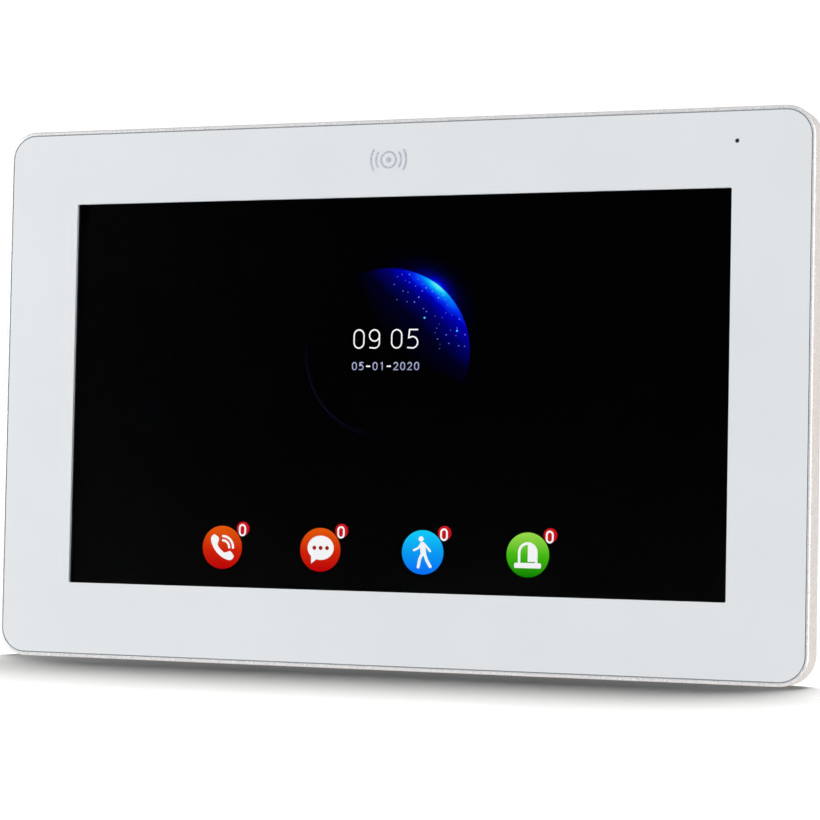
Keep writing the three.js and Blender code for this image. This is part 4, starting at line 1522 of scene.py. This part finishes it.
def digit_lines(digit: str) -> list[tuple[Outline, bool]]:
    """Centre lines of a digit whose half height is 3.

    Args:
        digit: One of the digits that the clock shows.

    Returns:
        Each line's points and whether it is closed.
    """
    if digit == "0":
        upper = arc((0, 1.1), (1.75, 1.9), 0, 180, 14)
        lower = arc((0, -1.1), (1.75, 1.9), 180, 360, 14)
        return [(upper + lower, True)]
    if digit == "9":
        bowl = arc((0, 1.15), (1.75, 1.85), 0, 360, 28)[:-1]
        stem = [(1.75, 1.15)] + arc((0.05, -1.3), (1.7, 1.7), 0, -90, 9) + [(-1.55, -2.85)]
        return [(bowl, True), (stem, False)]
    if digit == "5":
        belly = arc((-0.15, -1.15), (1.85, 1.85), 118, -100, 20)
        return [([(1.55, 3.0), (-1.2, 3.0), (-1.45, 0.35)] + belly + [(-1.75, -2.85)], False)]
    if digit == "2":
        crook = arc((0, 1.35), (1.65, 1.65), 160, -38, 16)
        return [(crook + [(-1.7, -2.95), (1.8, -2.95)], False)]
    return [([(-1.0, 2.1), (0.25, 3.0), (0.25, -3.0)], False)]


def write_digit(relief: Relief, digit: str, centre: Point, scale: float, width: float, **where: int) -> None:
    """Adds one digit to a relief.

    Args:
        relief: The relief.
        digit: The digit.
        centre: Its centre in millimetres.
        scale: Size of the digit's unit.
        width: Stroke width.
        where: Finish number and layer.
    """
    for line, closed in digit_lines(digit):
        relief.stroke(shifted(line, centre, scale), width, closed=closed, **where)


@dataclass
class Display:
    """Display panel behind the glass, with the lit picture that it shows."""

    width: float = 234.6
    height: float = 142.6
    front: float = -21.0
    back: float = -19.6
    ground_edge: float = 0.15
    picture_front: float = -21.05
    layer: float = 0.03
    picture_shift: float = -0.8
    speck_radius: float = 0.13
    speck_spacing: float = 1.2
    speck_density: float = 160000.0
    speck_band: Point = (1.0, 11.0)
    city_radius: float = 0.34
    city_places: tuple[Point, ...] = ((11.9, 24.1), (22.9, 19.9))
    clock_places: tuple[float, ...] = (-9.5, -4.2, 3.4, 8.9)
    clock_level: float = 17.5
    clock_scale: float = 0.97
    clock_stroke: float = 0.46
    date_left: float = -10.9
    date_pitch: float = 2.36
    date_level: float = 8.8
    date_scale: float = 0.38
    date_stroke: float = 0.32
    dash: Point = (1.5, 0.5)
    icon_radius: float = 6.98
    icon_level: float = -49.85
    icon_places: tuple[float, ...] = (-55.9, -21.4, 13.6, 48.5)
    badge_offset: Point = (7.3, 6.2)
    badge_radius: float = 2.25
    badge_digit: Point = (-0.2, -0.5)
    badge_scale: float = 0.56
    badge_stroke: float = 0.6

    def build(self) -> None:
        """Builds the panel and everything that it shows."""
        self.build_panel()
        self.build_specks()
        self.build_clock()
        drawings = (
            ("call", self.draw_handset, ((0.0, 0xBE000A), (0.45, 0xD42408), (1.0, 0xE85C0C))),
            ("message", self.draw_bubble, ((0.0, 0xBE000A), (0.45, 0xD42408), (1.0, 0xE85C0C))),
            ("motion", self.draw_walker, ((0.0, 0x0A6EFF), (0.5, 0x0AA0FA), (1.0, 0x14D2FF))),
            ("alarm", self.draw_siren, ((0.0, 0x008200), (0.5, 0x46BE14), (1.0, 0xA0E150))),
        )
        for place, (name, draw, stops) in zip(self.icon_places, drawings):
            self.build_icon(name, place + self.picture_shift, draw, stops)

    def build_panel(self) -> None:
        """Builds the panel: a front glass with a ground edge."""
        outline = rounded_rectangle(self.width, self.height, 0.6, 4)
        edge = self.ground_edge
        drawn_in = rounded_rectangle(self.width - 2 * edge, self.height - 2 * edge, 0.45, 4)
        rings = [(drawn_in, self.back), (outline, self.back - edge)]
        rings += [(outline, self.front + edge), (drawn_in, self.front)]
        shape = lofted(rings, [0, 0, 0], (0, 0))
        finished("display_panel", shape, [DISPLAY], Body.MONITOR, "screen", ["lcd_glass"])

    @staticmethod
    def glow(name: str, stops: tuple[tuple[float, int], ...], centre: float, reach: float) -> GlowGradient:
        """Lit finish that changes over a height range.

        Args:
            name: Name of the finish.
            stops: Place and colour of each stop.
            centre: Middle of the range along z.
            reach: Half of the range.

        Returns:
            The finish.
        """
        return GlowGradient(
            name, 0x000000, 0.4, specular=0.0, stops=stops, bottom=centre - reach, top=centre + reach
        )

    def build_specks(self) -> None:
        """Scatters small lights over the lit part of the world."""
        sickle: Outline = []
        for inside, (start, end) in zip(self.speck_band, ((88, 0), (4, 84))):
            radii = (DISPLAY.radii[0] - inside, DISPLAY.radii[1] - inside)
            sickle += arc(DISPLAY.centre, radii, start, end, 16)
        ground = [(x, self.picture_front, z) for x, z in sickle]
        carrier = carrier_of("speck_ground", ground, faces=[list(range(len(ground)))])
        speck = bmesh.new()
        prism(speck, circle((0, 0), self.speck_radius, 6), -self.layer, 0.0)
        light = self.glow("speck_light", ((0.0, 0x5A5AE6), (0.5, 0x6E78FF), (1.0, 0x78A0FF)), 20.0, 14.0)
        part = part_object("speck", speck)
        repeat_part(
            "picture_specks", part, carrier, scattered_part(), light, "screen", seed=7, turn_step=0.4,
            spacing=self.speck_spacing * MM, density=self.speck_density, size_spread=0.9,
        )
        cyan = self.glow("city_light", ((0.0, 0x28A0FF), (1.0, 0x50D2FF)), 21.0, 4.0)
        cities = Relief([cyan], self.picture_front, self.layer)
        for place in self.city_places:
            cities.area(circle(place, self.city_radius, 12))
        cities.piece("picture_cities", "screen")

    def build_clock(self) -> None:
        """Shows the time in large digits and the date in small ones."""
        white = self.glow("clock_light", ((0.0, 0xF4F6FA), (1.0, 0xFFFFFF)), 17.0, 4.0)
        clock = Relief([white], self.picture_front, self.layer)
        for digit, x in zip("0905", self.clock_places):
            place = (x + self.picture_shift, self.clock_level)
            write_digit(clock, digit, place, self.clock_scale, self.clock_stroke)
        clock.piece("clock_digits", "screen")
        pale = self.glow("date_light", ((0.0, 0xA2AAD2), (1.0, 0xB4BCDE)), self.date_level, 1.5)
        date = Relief([pale, white], self.picture_front, self.layer)
        for number, sign in enumerate("05-01-2020"):
            x = self.date_left + self.date_pitch * number + self.picture_shift
            if sign == "-":
                date.area(shifted(rounded_rectangle(*self.dash, 0.2, 3), (x, self.date_level)), finish=1)
            else:
                write_digit(date, sign, (x, self.date_level + 0.05), self.date_scale, self.date_stroke)
        date.piece("date_digits", "screen")

    def build_icon(
        self, name: str, x: float, draw: Callable[[Relief, Point], None], stops: tuple[tuple[float, int], ...]
    ) -> None:
        """Builds one round touch icon with its sign and its counter.

        Args:
            name: What the icon is for.
            x: Place of its centre.
            draw: Adds the sign.
            stops: Colours of the disc from bottom to top.
        """
        centre = (x, self.icon_level)
        disc = self.glow(f"{name}_disc_light", stops, self.icon_level, self.icon_radius)
        white = self.glow("sign_light", ((0.0, 0xFAFAFC), (1.0, 0xFFFFFF)), self.icon_level, 10.0)
        red = self.glow("badge_light", ((0.0, 0xB80812), (1.0, 0xD41420)), self.icon_level + 6.0, 2.5)
        dark = self.glow("dot_light", ((0.0, 0x8C1408), (1.0, 0xA01E0A)), self.icon_level, 3.0)
        icon = Relief([disc, white, red, dark], self.picture_front, self.layer)
        icon.area(circle(centre, self.icon_radius, 64), 0, 0)
        draw(icon, centre)
        badge = (centre[0] + self.badge_offset[0], centre[1] + self.badge_offset[1])
        icon.area(circle(badge, self.badge_radius, 32), 2, 1)
        middle = (badge[0] + self.badge_digit[0], badge[1] + self.badge_digit[1])
        write_digit(icon, "0", middle, self.badge_scale, self.badge_stroke, finish=1, layer=2)
        icon.piece(f"icon_{name}", "screen")

    def sign_point(self, centre: Point, points: Iterable[Point]) -> Outline:
        """Points of a sign, given in icon radii, at their place on the panel."""
        return shifted(points, centre, self.icon_radius)

    def draw_handset(self, icon: Relief, centre: Point) -> None:
        """Telephone handset with two sound arcs."""
        polar = [(1.24, angle) for angle in range(225, 194, -6)]
        polar += [(1.22, 189), (1.14, 184), (1.02, 181), (0.84, 190), (0.82, 198), (0.93, 205)]
        polar += [(1.0, 211), (1.0, 218), (1.0, 225)]
        mirrored = [(radius, 450 - angle) for radius, angle in polar[-2:0:-1]]
        hook = [
            (0.62 + r * math.cos(math.radians(a)), 0.62 + r * math.sin(math.radians(a)))
            for r, a in polar + mirrored
        ]
        icon.area(self.sign_point(centre, hook), 1, 1)
        for radius in (0.325, 0.52):
            bow = arc((0.03, 0.0), (radius, radius), 0, 90, 12)
            icon.stroke(self.sign_point(centre, bow), 0.11 * self.icon_radius, 1, 1)

    def draw_bubble(self, icon: Relief, centre: Point) -> None:
        """Speech bubble with three dots."""
        bubble = arc((0.02, 0.09), (0.65, 0.555), -108, 224, 40) + [(-0.44, -0.64)]
        icon.area(self.sign_point(centre, bubble), 1, 1)
        for x in (-0.29, 0.02, 0.34):
            dot = circle((x, 0.085), 0.094, 20)
            icon.area(self.sign_point(centre, dot), 3, 2)

    def draw_walker(self, icon: Relief, centre: Point) -> None:
        """Walking figure of plain strokes."""
        icon.area(self.sign_point(centre, circle((-0.08, 0.6), 0.12, 24)), 1, 1)
        limbs = (
            ([(-0.01, 0.34), (0.04, -0.04)], 0.26),
            ([(-0.08, 0.36), (-0.2, 0.2), (-0.42, 0.09)], 0.1),
            ([(0.09, 0.36), (0.24, 0.2), (0.36, 0.06)], 0.1),
            ([(-0.02, -0.06), (-0.13, -0.3), (-0.2, -0.66)], 0.14),
            ([(0.1, -0.06), (0.2, -0.34), (0.38, -0.63)], 0.14),
        )
        for line, width in limbs:
            icon.stroke(self.sign_point(centre, line), width * self.icon_radius, 1, 1)

    def draw_siren(self, icon: Relief, centre: Point) -> None:
        """Alarm beacon: a dome, half of it filled, on a base."""
        dome = [(-0.4, -0.3)] + arc((0.0, 0.11), (0.4, 0.4), 180, 0, 18) + [(0.4, -0.3)]
        icon.stroke(self.sign_point(centre, dome), 0.12 * self.icon_radius, 1, 1)
        half = [(0.0, -0.3), (0.38, -0.3)] + arc((0.0, 0.11), (0.38, 0.4), 0, 90, 10)
        icon.area(self.sign_point(centre, half), 1, 1)
        base = shifted(rounded_rectangle(1.26, 0.235, 0.06, 3), (0.0, -0.47))
        icon.area(self.sign_point(centre, base), 1, 1)


# ---------------------------------------------------------------- back


def dress_nodes(finishes: dict[str, Finish]) -> None:
    """Gives CAD nodes that keep their shape a better material.

    Args:
        finishes: Finish of each node.
    """
    for name, finish in finishes.items():
        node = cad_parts[name]
        for material_slot in node.material_slots:
            material_slot.material = finish.material()
        log.info("%s: dressed in %s", name, finish.name)


@dataclass(frozen=True)
class PanScrew:
    """Pan-head screw along y with a cross recess; its sizes are in millimetres."""

    head_radius: float
    head_height: float
    shank_radius: float
    shank_length: float
    pitch: float = 0.6
    tip_length: float = 0.8
    root_share: float = 0.82

    def profile(self) -> Outline:
        """Half section as (radius, y); the underside of the head is at 0."""
        root = self.shank_radius * self.root_share
        points: Outline = [(0.0, -self.shank_length), (self.shank_radius * 0.5, -self.shank_length)]
        for turn in range(int(self.shank_length / self.pitch) - 1):
            y = -self.shank_length + self.tip_length + self.pitch * turn
            points += [(root, y), (self.shank_radius, y + self.pitch / 2)]
        points += [(root, -0.2), (root, 0.0), (self.head_radius, 0.0)]
        for across, upward in ((1.0, 0.35), (0.93, 0.66), (0.72, 0.9), (0.45, 1.0), (0.0, 1.0)):
            points.append((across * self.head_radius, upward * self.head_height))
        return points

    def body(self, name: str) -> bpy.types.Object:
        """Helper object with one screw.

        Args:
            name: Name of the set that it is for.

        Returns:
            The object; the caller removes it.
        """
        made = part_object(f"{name}_body", turned(self.profile(), (0, 0), 24))
        arm, half, floor = 0.55 * self.head_radius, 0.14 * self.head_radius, 0.4 * self.head_height
        drivers = []
        for number, (x, z) in enumerate(((arm, half), (half, arm))):
            driver = bmesh.new()
            block(driver, (-x, floor, -z), (x, self.head_height + 1, z))
            drivers.append(part_object(f"{name}_driver_{number}", driver))
        cut_out(made, drivers)
        return made

    def build(
        self, name: str, places: Sequence[Sequence[float]], nodes: Sequence[str], to_front: bool = False
    ) -> None:
        """Builds a set of these screws as one piece.

        Args:
            name: Name of the piece.
            places: Underside of each head.
            nodes: CAD nodes that it stands for.
            to_front: Whether the heads face the front; else they face the wall.
        """
        body = self.body(name)
        if to_front:
            body.data.transform(Matrix.Rotation(math.pi, 4, "X"))
        repeat_part(
            name, body, carrier_of(f"{name}_places", places), repeated_part(), SCREW_ZINC, "screw_steel",
            nodes=nodes, turn_step=2.4, turn_spread=0.6, seed=5,
        )


@dataclass
class BackShell:
    """Rear cover with its screws and the label."""

    screw_seat: float = -11.8
    screw: PanScrew = PanScrew(2.8, 1.9, 1.35, 6.0)

    def build(self) -> None:
        """Builds the cover and its screws, and dresses the label."""
        refined("rear_cover", COVER_PLASTIC, Body.MONITOR, "casing", edge=0.25)
        self.build_screws()
        dress_nodes({"rear_label": LABEL_FOIL})

    def build_screws(self) -> None:
        """Repeats one cross-recessed screw at the six corners and sides."""
        places = [(x, self.screw_seat, z) for x, z in CASE_SCREW_PLACES]
        names = [f"case_screw_{number + 1}" for number in range(len(places))]
        self.screw.build("case_screws_fine", places, names)


@dataclass
class Speaker:
    """Loudspeaker behind the grille of the rear cover."""

    centre: Point = (92.0, -5.0)
    radius: float = 19.9
    cone_neck: float = 4.6
    cone_depth: float = -7.0
    cone_reach: float = 17.2
    steps: int = 72

    def build(self) -> None:
        """Builds the basket, magnet, gasket, cone and dust cloth."""
        self.build_basket()
        self.build_cone()
        self.build_cloth()
        dress_nodes({"speaker_lead": LEAD_SLEEVE})

    def turn(self, node: str, profile: Outline, finish: Finish, slot: str, **more: Any) -> None:
        """Builds the fine piece of a CAD node by turning a profile about the loudspeaker's axis.

        Args:
            node: The CAD node.
            profile: Half section as (radius, y).
            finish: Its finish.
            slot: Material slot of the record.
            more: The body and the crease angle, where they aren't the usual ones.
        """
        body = more.pop("body", Body.MONITOR)
        shape = turned(profile, self.centre, self.steps)
        finished(f"{node}_fine", shape, [finish], body, slot, [node], **more)

    def build_basket(self) -> None:
        """Pressed basket, ring magnet with its plates, and foam gasket."""
        radius = self.radius
        basket = [
            (3.0, -10.0), (9.7, -10.0), (10.2, -9.85), (17.9, -6.35), (18.3, -6.2), (radius - 0.2, -6.0),
            (radius, -5.8), (radius, -4.5), (radius - 0.1, -4.4), (17.6, -4.4), (17.6, -5.9),
            (9.7, -9.4), (3.0, -9.4),
        ]
        self.turn("speaker_basket", basket, TIN_CAN, "steel")
        magnet = [
            (0.0, -10.1), (9.8, -10.1), (10.0, -10.3), (10.0, -10.9), (9.6, -11.0), (9.6, -12.4),
            (10.0, -12.5), (10.0, -13.2), (9.8, -13.4), (3.0, -13.4), (2.6, -13.1), (0.0, -13.1),
        ]
        self.turn("speaker_magnet", magnet, FERRITE, "ferrite")
        gasket = [
            (17.7, -4.2), (radius - 0.1, -4.2), (radius, -4.1), (radius, -3.8), (radius - 0.1, -3.7),
            (17.7, -3.7), (17.6, -3.8), (17.6, -4.1),
        ]
        self.turn("speaker_gasket", gasket, RUBBER, "rubber")

    def build_cone(self) -> None:
        """Paper cone with pressed rings, a rolled surround and a domed cap."""
        neck, deep, reach = self.cone_neck, self.cone_depth, self.cone_reach
        cap = arc((0.0, deep), (4.4, 1.1), 90, 0, 8)
        profile: Outline = [(0.0, deep + 1.1), *cap[1:]]
        slope = (-4.95 - deep) / (15.4 - neck)
        for step in range(1, 10):
            along = 10.6 * step / 10
            ripple = 0.08 if step % 3 == 0 else 0.0
            profile.append((neck + along, deep + slope * along + ripple))
        profile += [(15.5, -4.9), (16.0, -4.7), (16.6, -4.62), (reach, -4.65), (reach, -4.85)]
        profile += [(15.7, -5.25), (neck, deep - 0.5), (0.0, deep - 0.5)]
        self.turn("speaker_cone", profile, PAPER, "paper", body=Body.CONE, crease=50)

    def build_cloth(self) -> None:
        """Thin dust cloth between the gasket and the grille."""
        cloth = [(0.0, -3.66), (18.5, -3.66), (18.6, -3.6), (18.5, -3.54), (0.0, -3.54)]
        shape = turned(cloth, self.centre, self.steps)
        finished("speaker_dust_cloth", shape, [DUST_CLOTH], Body.MONITOR, "paper")


@dataclass
class Board:
    """Main board with its parts, wiring headers and contacts."""

    top: float = -11.0
    header_level: float = -25.0
    header_places: tuple[float, ...] = (-31.5, -16.0, -0.5, 15.0)
    power_place: float = 31.0
    contact_level: float = -6.55
    contact_pitch: float = 2.5
    contact_half: float = 0.42
    screw: PanScrew = PanScrew(2.6, 1.5, 1.15, 5.4)
    screw_seat: float = -12.7
    screw_places: tuple[Point, ...] = ((-92, 44), (58, 44), (58, -44), (-76, -44))
    chip_spacing: float = 3.2
    chip_density: float = 9000.0
    free_areas: tuple[tuple[float, float, float, float], ...] = (
        (-40.0, -19.5, 40.0, -15.5),
        (-40.0, -35.0, 40.0, -30.5),
        (-60.0, -10.0, 20.0, -2.0),
        (-60.0, 38.0, 50.0, 46.0),
        (22.0, 10.0, 46.0, 34.0),
    )

    def build(self) -> None:
        """Dresses the board and builds what stands on it."""
        dress_nodes({"main_board": GREEN_BOARD, "panel_board": GREEN_BOARD, "capacitor_1": TIN_CAN})
        chips = {
            "processor": (CHIP_RESIN, "black_plastic"),
            "memory_chip": (CHIP_RESIN, "black_plastic"),
            "processor_shield": (TIN_CAN, "steel"),
            "power_inductor": (FERRITE, "ferrite"),
            "capacitor_2": (TIN_CAN, "steel"),
            "coin_cell": (TIN_CAN, "steel"),
            "coin_cell_holder": (BLACK_PLASTIC, "black_plastic"),
            "power_header": (WHITE_PLASTIC, "white_plastic"),
        }
        for number in range(1, 5):
            chips[f"camera_header_{number}"] = (WHITE_PLASTIC, "white_plastic")
        for node, (finish, slot) in chips.items():
            refined(node, finish, Body.MONITOR, slot, edge=0.12)
        self.build_contacts()
        self.build_small_parts()
        places = [(x, self.screw_seat, z) for x, z in self.screw_places]
        names = [f"board_screw_{number + 1}" for number in range(len(places))]
        self.screw.build("board_screws_fine", places, names, to_front=True)

    def build_contacts(self) -> None:
        """Gold sleeves over the posts of the wiring headers."""
        places = []
        for middle, count in [(x, 4) for x in self.header_places] + [(self.power_place, 2)]:
            for index in range(count):
                x = middle + (index - (count - 1) / 2) * self.contact_pitch
                places.append((x, self.contact_level, self.header_level))
        half = self.contact_half
        sleeve = bmesh.new()
        rows = []
        for size, y in ((half, -3.3), (half, 0.25), (0.6 * half, 0.62)):
            corners = ((-size, -size), (size, -size), (size, size), (-size, size))
            rows.append(ring_at(sleeve, corners, y))
        for back, front in zip(rows, rows[1:]):
            wall(sleeve, back, front)
        for end in (rows[0], rows[-1]):
            sleeve.faces.new(end)
        bmesh.ops.recalc_face_normals(sleeve, faces=sleeve.faces)
        part, carrier = part_object("contact_sleeve", sleeve), carrier_of("contact_places", places)
        repeat_part("header_contacts", part, carrier, repeated_part(), CONTACT_GOLD, "steel")

    def build_small_parts(self) -> None:
        """Scatters small chip parts over the free areas of the board."""
        points: list[Sequence[float]] = []
        level = self.top + 0.02
        for left, bottom, right, top in self.free_areas:
            points += [(left, level, bottom), (right, level, bottom), (right, level, top), (left, level, top)]
        faces = [[start + 3, start + 2, start + 1, start] for start in range(0, len(points), 4)]
        for name, finish, (x, y, z), seed in (
            ("chip_resistors", CHIP_RESIN, (0.8, 0.45, 0.5), 11),
            ("chip_capacitors", CERAMIC_TAN, (0.7, 0.7, 0.45), 23),
        ):
            chip = bmesh.new()
            block(chip, (-x, 0.0, -z), (x, y, z))
            part, carrier = part_object(name, chip), carrier_of(f"{name}_ground", points, faces=faces)
            repeat_part(
                name, part, carrier, scattered_part(), finish, "board", spacing=self.chip_spacing * MM,
                density=self.chip_density, turn_step=math.pi / 2, size_spread=0.2, seed=seed,
            )


@dataclass
class SmallControls:
    """Memory card with its socket, the power slider and the reset button."""

    card_tip: float = -119.1
    card_back: float = -9.65
    pad_middle: float = -60.65
    pad_pitch: float = 1.1
    pad_count: int = 8
    pad_length: float = 2.6
    pad_margin: float = 0.6
    pad_half_width: float = 0.38

    def build(self) -> None:
        """Refines the small moving pieces and their holders."""
        for node, finish, body, slot, edge in (
            ("card_socket", TIN_CAN, Body.MONITOR, "steel", 0.1),
            ("power_switch", TIN_CAN, Body.MONITOR, "steel", 0.12),
            ("reset_switch", BLACK_PLASTIC, Body.MONITOR, "black_plastic", 0.12),
            ("memory_card", BLACK_PLASTIC, Body.CARD, "black_plastic", 0.12),
        ):
            refined(node, finish, body, slot, edge=edge)
        refined("power_knob", BLACK_PLASTIC, Body.KNOB, "black_plastic", edge=0.25, segments=3)
        refined("reset_plunger", WHITE_PLASTIC, Body.PLUNGER, "white_plastic", edge=0.2, segments=3)
        self.build_pads()

    def build_pads(self) -> None:
        """Gold pads along the inner end of the memory card."""
        pad = bmesh.new()
        block(pad, (-self.pad_length, -0.02, -self.pad_half_width), (0.0, 0.03, self.pad_half_width))
        first = self.pad_middle - self.pad_pitch * (self.pad_count - 1) / 2
        rows = [first + self.pad_pitch * number for number in range(self.pad_count)]
        places = [(self.card_tip - self.pad_margin, self.card_back, z) for z in rows]
        part, carrier = part_object("card_pad", pad), carrier_of("card_pad_places", places)
        repeat_part("card_pads", part, carrier, repeated_part(), CONTACT_GOLD, "steel", Body.CARD)


@dataclass
class WallBracket:
    """Pressed steel bracket that stays on the wall."""

    def build(self) -> None:
        """Refines the pressed sheet."""
        refined("wall_bracket", SHEET_ZINC, Body.BRACKET, "bracket_steel", edge=0.22)


@dataclass
class InnerParts:
    """Pieces inside the casing that keep the shape of the frame's nodes."""

    screw: PanScrew = PanScrew(2.5, 1.5, 1.15, 4.0)
    screw_seat: float = -15.0
    rail_places: tuple[Point, ...] = ((-123.5, 45.0), (-123.5, -45.0), (123.5, 45.0), (123.5, -45.0))

    def build(self) -> None:
        """Dresses the hidden nodes and builds the rail screws."""
        dress_nodes(
            {
                "glass_adhesive": TAPE,
                "touch_sensor": CLEAR_FILM,
                "touch_flex": FLEX,
                "light_guide": WHITE_PLASTIC,
                "led_strip": WHITE_PLASTIC,
                "backlight_tray": TIN_CAN,
                "display_cable": FLEX,
                "lcd_rail_left": TIN_CAN,
                "lcd_rail_right": TIN_CAN,
                "mic_boot": RUBBER,
                "mic_capsule": TIN_CAN,
                "mic_lead": LEAD_SLEEVE,
            }
        )
        places = [(x, self.screw_seat, z) for x, z in self.rail_places]
        names = [f"rail_screw_{number + 1}" for number in range(len(places))]
        self.screw.build("rail_screws_fine", places, names)


# ---------------------------------------------------------------- studio


def heading(azimuth: float, elevation: float) -> Vector:
    """Direction that is so many degrees to the right of the front and above the horizon."""
    turn, rise = math.radians(azimuth), math.radians(elevation)
    return Vector((math.sin(turn) * math.cos(rise), -math.cos(turn) * math.cos(rise), math.sin(rise)))


def aimed(name: str, light: bpy.types.Light, source: Vector) -> bpy.types.Object:
    """Places a light in the scene and turns it to shine from a direction.

    Args:
        name: Name of the light.
        light: Its data.
        source: Where it shines from.

    Returns:
        The light's object.
    """
    lamp = bpy.data.objects.new(name, light)
    bpy.context.scene.collection.objects.link(lamp)
    lamp.rotation_mode = "QUATERNION"
    lamp.rotation_quaternion = source.to_track_quat("Z", "Y")
    return lamp


@dataclass
class Studio:
    """Pale floor, soft lights and the camera."""

    floor_level: float = -87.25
    floor_reach: float = 4000.0
    floor_front: float = 720.0
    yaw: float = 21.29
    pitch: float = -2.20
    roll: float = 1.13
    target: tuple[float, float, float] = (0.0, -23.9, 0.0)
    distance: float = 851.4
    slide: Point = (7.78, -5.18)
    lens: float = 118.2
    sensor: float = 36.0
    panel_size: float = 2.8
    panel_distance: float = 3.0
    panels: tuple[tuple[str, float, float, float], ...] = (
        ("panel_left", -60.0, 6.0, 82.0),
        ("panel_right", 64.0, 4.0, 80.0),
    )
    sun_power: float = 16.5
    sun_width: float = 42.0
    sun_place: Point = (194.0, 60.0)
    fill_radius: float = 0.02
    floor_fills: tuple[tuple[str, tuple[float, float, float], float], ...] = (
        ("floor_fill_left", (-160.0, -45.0, -70.0), 0.14),
        ("floor_fill_right", (166.0, -50.0, -72.0), 0.05),
    )

    def build(self) -> None:
        """Sets the view, the floor, the lights and the camera."""
        bpy.context.scene.view_settings.view_transform = "Standard"
        floor = self.build_floor()
        self.build_world()
        self.build_lights(floor)
        self.build_camera()

    def build_floor(self) -> bpy.types.Object:
        """Wide pale floor under the object.

        Returns:
            The floor.
        """
        reach, near = self.floor_reach, -self.floor_front
        corners = [(-reach, near, 0), (reach, near, 0), (reach, reach, 0), (-reach, reach, 0)]
        floor = carrier_of("studio_floor", corners, faces=[[0, 1, 2, 3]])
        for vertex in floor.data.vertices:
            vertex.co.z = (self.floor_level - 0.05) * MM
        floor.data.materials.append(STUDIO_PAPER.material())
        floor.visible_diffuse = False
        floor.visible_glossy = False
        floor.visible_shadow = False
        return floor

    def build_world(self) -> None:
        """White ground for the camera; soft light all round, dim where the screen would mirror it."""
        world = bpy.data.worlds.new("studio_world")
        bpy.context.scene.world = world
        world.use_nodes = True
        world.node_tree.nodes.clear()
        graph = Graph(world.node_tree)
        direction = graph.add("ShaderNodeTexCoord").outputs["Generated"]
        mirrored = tuple(heading(-self.yaw, -self.pitch))
        toward = graph.add(
            "ShaderNodeVectorMath", {0: direction, 1: mirrored}, operation="DOT_PRODUCT"
        ).outputs["Value"]
        _, depth, height = graph.add("ShaderNodeSeparateXYZ", {0: direction}).outputs
        path = graph.add("ShaderNodeLightPath").outputs
        behind = graph.spread(depth, -0.3, 0.4, 0.1, 0.75)
        below = graph.spread(height, -0.1, -0.6, 0.0, 0.9)
        soft = graph.math("MAXIMUM", behind, below)
        glare = graph.spread(graph.math("ABSOLUTE", height), 0.15, 0.5, 0.0, 0.95)
        shiny = graph.math("MULTIPLY", glare, path["Is Glossy Ray"])
        level = graph.math("MAXIMUM", soft, shiny)
        dimmed = graph.math("MULTIPLY", level, graph.spread(toward, 0.8, 0.92, 1.0, 0.02))
        strength = graph.mix(path["Is Camera Ray"], dimmed, (1.05, 1.05, 1.05, 1.0))
        background = graph.add("ShaderNodeBackground", {"Color": strength, "Strength": 1.0})
        output = graph.add("ShaderNodeOutputWorld")
        graph.feed(output.inputs["Surface"], background.outputs[0])

    def build_lights(self, floor: bpy.types.Object) -> None:
        """Two soft panels for the object; for the floor a wide light from behind and a fill at each end.

        Args:
            floor: The floor, which the panels don't light.
        """
        unlit = bpy.data.collections.new("floor_without_panels")
        unlit.objects.link(floor)
        unlit.collection_objects[0].light_linking.link_state = "EXCLUDE"
        for name, azimuth, elevation, power in self.panels:
            light = bpy.data.lights.new(name, "AREA")
            light.shape = "SQUARE"
            light.size = self.panel_size
            light.energy = power
            away = heading(azimuth, elevation)
            panel = aimed(name, light, away)
            panel.location = away * self.panel_distance
            panel.light_linking.receiver_collection = unlit
        lit_floor = bpy.data.collections.new("floor_only")
        lit_floor.objects.link(floor)
        sun = bpy.data.lights.new("floor_light", "SUN")
        sun.energy = self.sun_power
        sun.angle = math.radians(self.sun_width)
        aimed("floor_light", sun, heading(*self.sun_place)).light_linking.receiver_collection = lit_floor
        for name, place, power in self.floor_fills:
            fill = bpy.data.lights.new(name, "POINT")
            fill.energy = power
            fill.shadow_soft_size = self.fill_radius
            lamp = aimed(name, fill, Vector((0, 0, 1)))
            lamp.location = Vector(place) * MM
            lamp.light_linking.receiver_collection = lit_floor

    def build_camera(self) -> None:
        """Camera low on the right, turned a little about its own axis."""
        back, roll = heading(self.yaw, self.pitch), math.radians(self.roll)
        right = Vector((0, 0, 1)).cross(back).normalized()
        upward = back.cross(right)
        across = right * math.cos(roll) + upward * math.sin(roll)
        rise = upward * math.cos(roll) - right * math.sin(roll)
        place = Vector(self.target) + back * self.distance + across * self.slide[0] + rise * self.slide[1]
        lens = bpy.data.cameras.new("studio_camera")
        lens.lens = self.lens
        lens.sensor_width = self.sensor
        camera = bpy.data.objects.new("studio_camera", lens)
        bpy.context.scene.collection.objects.link(camera)
        turn = Matrix((across, rise, back)).transposed().to_4x4()
        camera.matrix_world = Matrix.Translation(place * MM) @ turn
        bpy.context.scene.camera = camera


def main() -> None:
    """Builds the studio and every sub-assembly in order."""
    logging.basicConfig(level=logging.INFO, format="%(name)s %(message)s")
    Studio().build()
    parts = (
        FrontGlass(),
        DoorbellMark(),
        FrontFrame(),
        Display(),
        BackShell(),
        Speaker(),
        Board(),
        SmallControls(),
        WallBracket(),
        InnerParts(),
    )
    for part in parts:
        part.build()
        log.info("%s done", type(part).__name__)


if __name__ == "__main__":
    main()
